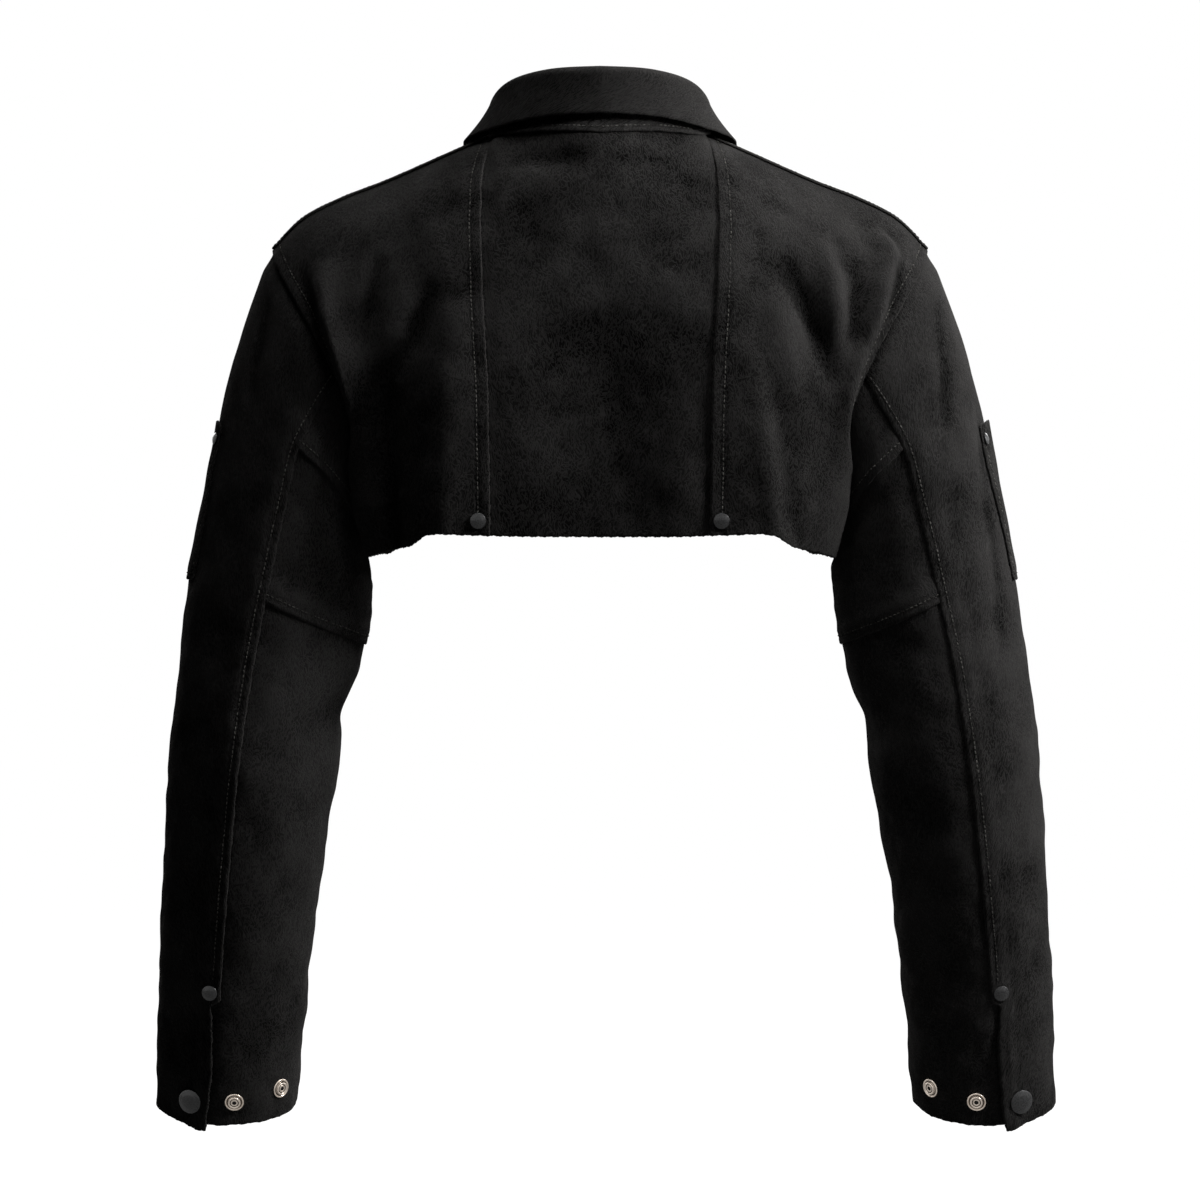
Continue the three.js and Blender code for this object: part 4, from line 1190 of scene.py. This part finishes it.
# %% [markdown]
# ## The nap as a node group
# A node group packs the strokes and the patches into one node with two outputs. The same nodes could stand
# in the material itself, but a group keeps its tree short and can serve another leather as well.

# %% Nap
NAP_SCALE, NAP_TURN = (570.0, 235.0, 1.0), (0, 0, 0.35)  # strokes per metre, and the slant of the nap
WANDER = (0.014, 0.014, 0.0)  # how far the strokes bend, in metres
STROKE_WIDTH = 0.085  # distance from the noise's middle value at which a stroke ends


def make_nap():
    """Strokes: the lines along which a noise, stretched along the nap and bent by a slower one, has its
    middle value, with some grain. Patches: two slow noises on the object's own coordinates."""
    outputs = {"Strokes": "Float", "Patches": "Float"}
    group, given, out = node_group("nap", {"Along": "Vector", "Place": "Vector"}, outputs)
    along, place = given.outputs["Along"], given.outputs["Place"]
    slow = noise(group, along, 45.0, 2.0)["Color"]
    bent = add(group, "ShaderNodeVectorMath", {0: slow, 1: WANDER}, operation="MULTIPLY").outputs[0]
    moved = add(group, "ShaderNodeVectorMath", {0: along, 1: bent}, operation="ADD").outputs[0]
    laid = add(group, "ShaderNodeMapping", {"Vector": moved, "Scale": NAP_SCALE, "Rotation": NAP_TURN})
    fine = noise(group, laid.outputs[0], 1.0, 3.0)["Fac"]
    grain = noise(group, along, 420.0, 3.0, 0.6)["Fac"]
    apart = math_node(group, "ABSOLUTE", math_node(group, "SUBTRACT", fine, 0.5), 0.0)
    strokes = weigh(group, ramp(group, apart, STROKE_WIDTH, 0.0), 0.6, grain, 0.4)
    broad, small = noise(group, place, 14.0, 3.0, 0.55)["Fac"], noise(group, place, 55.0, 3.0, 0.6)["Fac"]
    patches = ramp(group, weigh(group, broad, 0.8, small, 0.2), 0.34, 0.66)
    feed(group, out, {"Strokes": strokes, "Patches": patches})
    return group


NAP = make_nap()
print("nap group with", len(NAP.nodes), "nodes")

# %% [markdown]
# ## The suede's shader
# The Principled shader does the rest. Suede has no gloss, so its specular part is off, and a weak sheen
# brightens it where it turns away, as standing fibres do. A Bump node raises the strokes.

# %% Suede
SUEDE_DARK, SUEDE_PALE = (0.003, 0.0029, 0.0029, 1), (0.056, 0.054, 0.053, 1)
SUEDE_CUT = (0.045, 0.043, 0.042, 1)


def make_suede():
    """Base colour: dark to pale by patches, strokes and the height of the folds, with a paler cut edge. The
    height of the folds gives painted highlight on their ridges and painted shade in their valleys. The strokes
    also raise the surface."""
    material, tree, shader = new_material("black_suede")
    along = add(tree, "ShaderNodeUVMap", uv_map="leather").outputs["UV"]
    place = add(tree, "ShaderNodeTexCoord").outputs["Object"]
    nap = add(tree, "ShaderNodeGroup", node_tree=NAP)
    feed(tree, nap, {"Along": along, "Place": place})
    # painted highlight on the ridges of the folds and painted shade in their valleys and the seams' grooves
    painted_fold_light = ramp(tree, attribute(tree, "ridge"), -1.8, 1.8, -0.4, 0.4)
    strokes = ramp(tree, nap.outputs["Strokes"], 0.12, 0.85)
    shade = math_node(tree, "ADD", weigh(tree, nap.outputs["Patches"], 0.45, strokes, 0.55), painted_fold_light)
    cut = ramp(tree, attribute(tree, "edge"), 0.6, -0.6)
    bump = add(tree, "ShaderNodeBump", {"Height": nap.outputs["Strokes"], "Strength": 1.0, "Distance": 0.0009})
    finish = {
        "Base Color": mix(tree, cut, mix(tree, shade, SUEDE_DARK, SUEDE_PALE), SUEDE_CUT),
        "Normal": bump.outputs["Normal"],
        "Roughness": 0.95,
        "Specular IOR Level": 0.0,
        "Sheen Weight": 0.12,
        "Sheen Roughness": 0.5,
        "Sheen Tint": (0.8, 0.78, 0.76, 1),
    }
    feed(tree, shader, finish)
    return material


SUEDE = make_suede()
for panel in PANELS.values():
    panel["obj"].data.materials.append(SUEDE)
print("suede on", len(PANELS), "panels")

# %% [markdown]
# ## Metal and thread
# The metal has been handled, so a fine noise varies its colour and its gloss, and its grooves and holes
# are darkened with painted shade. The thread is matte and changes a little from stitch to stitch.

# %% Metal and thread
GROOVE_PAINTED_SHADE = (0.02, 0.019, 0.018, 1)  # painted shade in the grooves and in the stud's hole
THREAD_DARK, THREAD_PALE = (0.06, 0.058, 0.055, 1), (0.22, 0.215, 0.2, 1)


def make_metal(name, colour, metallic, roughness, worn):
    """A plain metal finish with slight handling marks in its roughness and colour, and painted shade where the
    height falls back below the part outside it."""
    material, tree, shader = new_material(name)
    marks = noise(tree, add(tree, "ShaderNodeTexCoord").outputs["Object"], 700.0, 4.0)["Fac"]
    handled = mix(tree, ramp(tree, marks, 0.45, 0.7), colour, worn)
    # painted shade in the grooves and the stud's hole, by how deep each ring lies
    painted_groove_shade = ramp(tree, attribute(tree, "hollow"), 0.1, 0.8)
    gloss = ramp(tree, marks, 0.3, 0.7, roughness, roughness + 0.15)
    colour = mix(tree, painted_groove_shade, handled, GROOVE_PAINTED_SHADE)
    feed(tree, shader, {"Base Color": colour, "Roughness": gloss, "Metallic": metallic})
    return material


def make_thread():
    """Grey cotton, a little paler and darker from stitch to stitch."""
    material, tree, shader = new_material("grey_thread")
    tone = noise(tree, add(tree, "ShaderNodeTexCoord").outputs["Object"], 260.0, 2.0)["Fac"]
    colour = mix(tree, ramp(tree, tone, 0.35, 0.65), THREAD_DARK, THREAD_PALE)
    feed(tree, shader, {"Base Color": colour, "Roughness": 0.8, "Specular IOR Level": 0.0})
    return material


FINISHES = {
    "black_metal": make_metal("black_enamel", (0.02, 0.02, 0.021, 1), 0.0, 0.22, (0.04, 0.04, 0.041, 1)),
    "steel": make_metal("nickel_steel", (0.79, 0.69, 0.6, 1), 1.0, 0.16, (0.61, 0.53, 0.45, 1)),
}
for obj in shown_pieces():
    if obj.name.endswith("_turned"):
        obj.data.materials.append(FINISHES[obj["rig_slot"]])
THREAD_FINISH = make_thread()
for obj in STITCHED.values():
    obj.data.materials.append(THREAD_FINISH)
print(len(FINISHES), "metal finishes, and thread on", len(STITCHED), "panels")

# %% [markdown]
# ## Light and floor
# The main light stands far off to the right, a little above and behind the cape, so that the left sleeve
# falls into shade. Three weak ones pick out the right side and the shoulders, and two large ones light the
# front. The floor is pale and plain, well below the cuffs, and shines more weakly where metal mirrors it.

# %% Light
FLOOR_Z = -0.95
FLOOR_SIZE, FLOOR_GREY = 24.0, (0.12, 0.12, 0.12, 1)
FLOOR_IN_METAL = 0.38  # how bright the floor is where metal mirrors it
SKY_IN_METAL = (0.8, 1.1)  # how bright the sky is there, from straight on to the sides
SKY_LIGHT = 0.0008  # what the sky adds to the leather
WHITE = (1, 1, 1, 1)
CAPE_MIDDLE = (0.0, -0.05, -0.3)
LIGHTS = {  # place, width and watts
    "key": ((1.63, -0.64, 0.7), 0.5, 25.0),
    "side": ((1.18, 0.05, -0.09), 0.5, 2.2),
    "upper": ((0.12, -0.4, 0.85), 0.5, 3.6),
    "top": ((0.6, 0.2, 0.95), 0.4, 2.5),
    "front": ((1.2, 2.6, 1.2), 1.5, 50.0),
    "front_left": ((-1.4, 2.6, 0.9), 1.5, 30.0),
}


def softbox(name, place, aim, size, watts):
    """A square area light at a place, turned to what it lights."""
    light = bpy.data.objects.new(name, bpy.data.lights.new(name, "AREA"))
    light.data.energy = watts
    light.data.size = size
    light.location = place
    light.visible_camera = False
    direction = np.array(aim) - np.array(place)
    light.rotation_euler = (
        math.atan2(math.hypot(direction[0], direction[1]), -direction[2]),
        0.0,
        math.atan2(-direction[0], direction[1]),
    )
    bpy.context.scene.collection.objects.link(light)


for name, (place, size, watts) in LIGHTS.items():
    softbox(name, place, CAPE_MIDDLE, size, watts)
bpy.context.scene.view_settings.view_transform = "Standard"
print(len(LIGHTS), "lights")

# %% Floor and sky
bpy.ops.mesh.primitive_plane_add(size=FLOOR_SIZE, location=(0.0, 0.0, FLOOR_Z))
floor = bpy.context.object
floor.name = "floor"
paper, tree, shader = new_material("pale_floor")
path = add(tree, "ShaderNodeLightPath").outputs
in_metal = math_node(tree, "MULTIPLY", path["Is Glossy Ray"], FLOOR_IN_METAL)
glow = math_node(tree, "MAXIMUM", path["Is Camera Ray"], in_metal)
feed(tree, shader, {"Base Color": FLOOR_GREY, "Specular IOR Level": 0.0})
feed(tree, shader, {"Emission Color": WHITE, "Emission Strength": glow})
floor.data.materials.append(paper)

world = bpy.data.worlds.new("studio")
bpy.context.scene.world = world
world.use_nodes = True
sky = world.node_tree
path = add(sky, "ShaderNodeLightPath").outputs
direction = add(sky, "ShaderNodeSeparateXYZ", {0: add(sky, "ShaderNodeTexCoord").outputs["Generated"]})
sideways = math_node(sky, "ABSOLUTE", direction.outputs["X"], 0.0)
mirrored = math_node(sky, "MULTIPLY", path["Is Glossy Ray"], ramp(sky, sideways, 0.15, 0.75, *SKY_IN_METAL))
seen = math_node(sky, "MAXIMUM", path["Is Camera Ray"], mirrored)
strength = math_node(sky, "MAXIMUM", seen, SKY_LIGHT)
feed(sky, sky.nodes["Background"], {"Color": WHITE, "Strength": strength})
print("floor at", FLOOR_Z, "m")

# %% [markdown]
# ## Neighbours and fittings
# Each panel is a sheet of leather, cut flat and hung on the shoulders. Two tables list the panels it is sewn
# to and the metal it carries, and each panel's list gains its stitches.

# %% Sheets
NEIGHBOURS = {  # a star stands for the panel's own side
    "back_panel": "collar_band back_side_right back_side_left",
    "collar_band": "back_panel front_right front_left",
    "collar_leaf": "collar_band",
    "back_side_*": "back_panel front_*",
    "front_*": "collar_band back_side_*",
    "outer_sleeve_*": "back_side_* front_*",
    "under_sleeve_top_*": "outer_sleeve_*",
    "under_sleeve_gusset_*": "outer_sleeve_* under_sleeve_top_*",
    "under_sleeve_lower_*": "outer_sleeve_* under_sleeve_gusset_*",
    "sleeve_pocket_*": "outer_sleeve_*",
}
FITTINGS = {
    "front_left": "front_snap_1 front_snap_2 front_snap_3",
    "back_side_*": "back_rivet_*",
    "outer_sleeve_*": "slit_rivet_* cuff_cap_*",
    "under_sleeve_lower_*": "cuff_stud_back_* cuff_stud_inner_*",
    "sleeve_pocket_*": "pocket_rivet_front_* pocket_rivet_back_*",
}


def named(rows):
    """The pieces that a table lists for each panel, with the panel's own side put in for the star."""
    return {node: row_for(rows, node, "").replace("*", node.split("_")[-1]).split() for node in PANELS}


SEWN_TO, CARRIED = named(NEIGHBOURS), named(FITTINGS)
for node, panel in PANELS.items():
    with_it = [carried + "_turned" for carried in CARRIED[node]]
    with_it += [STITCHED[node]] if node in STITCHED else []
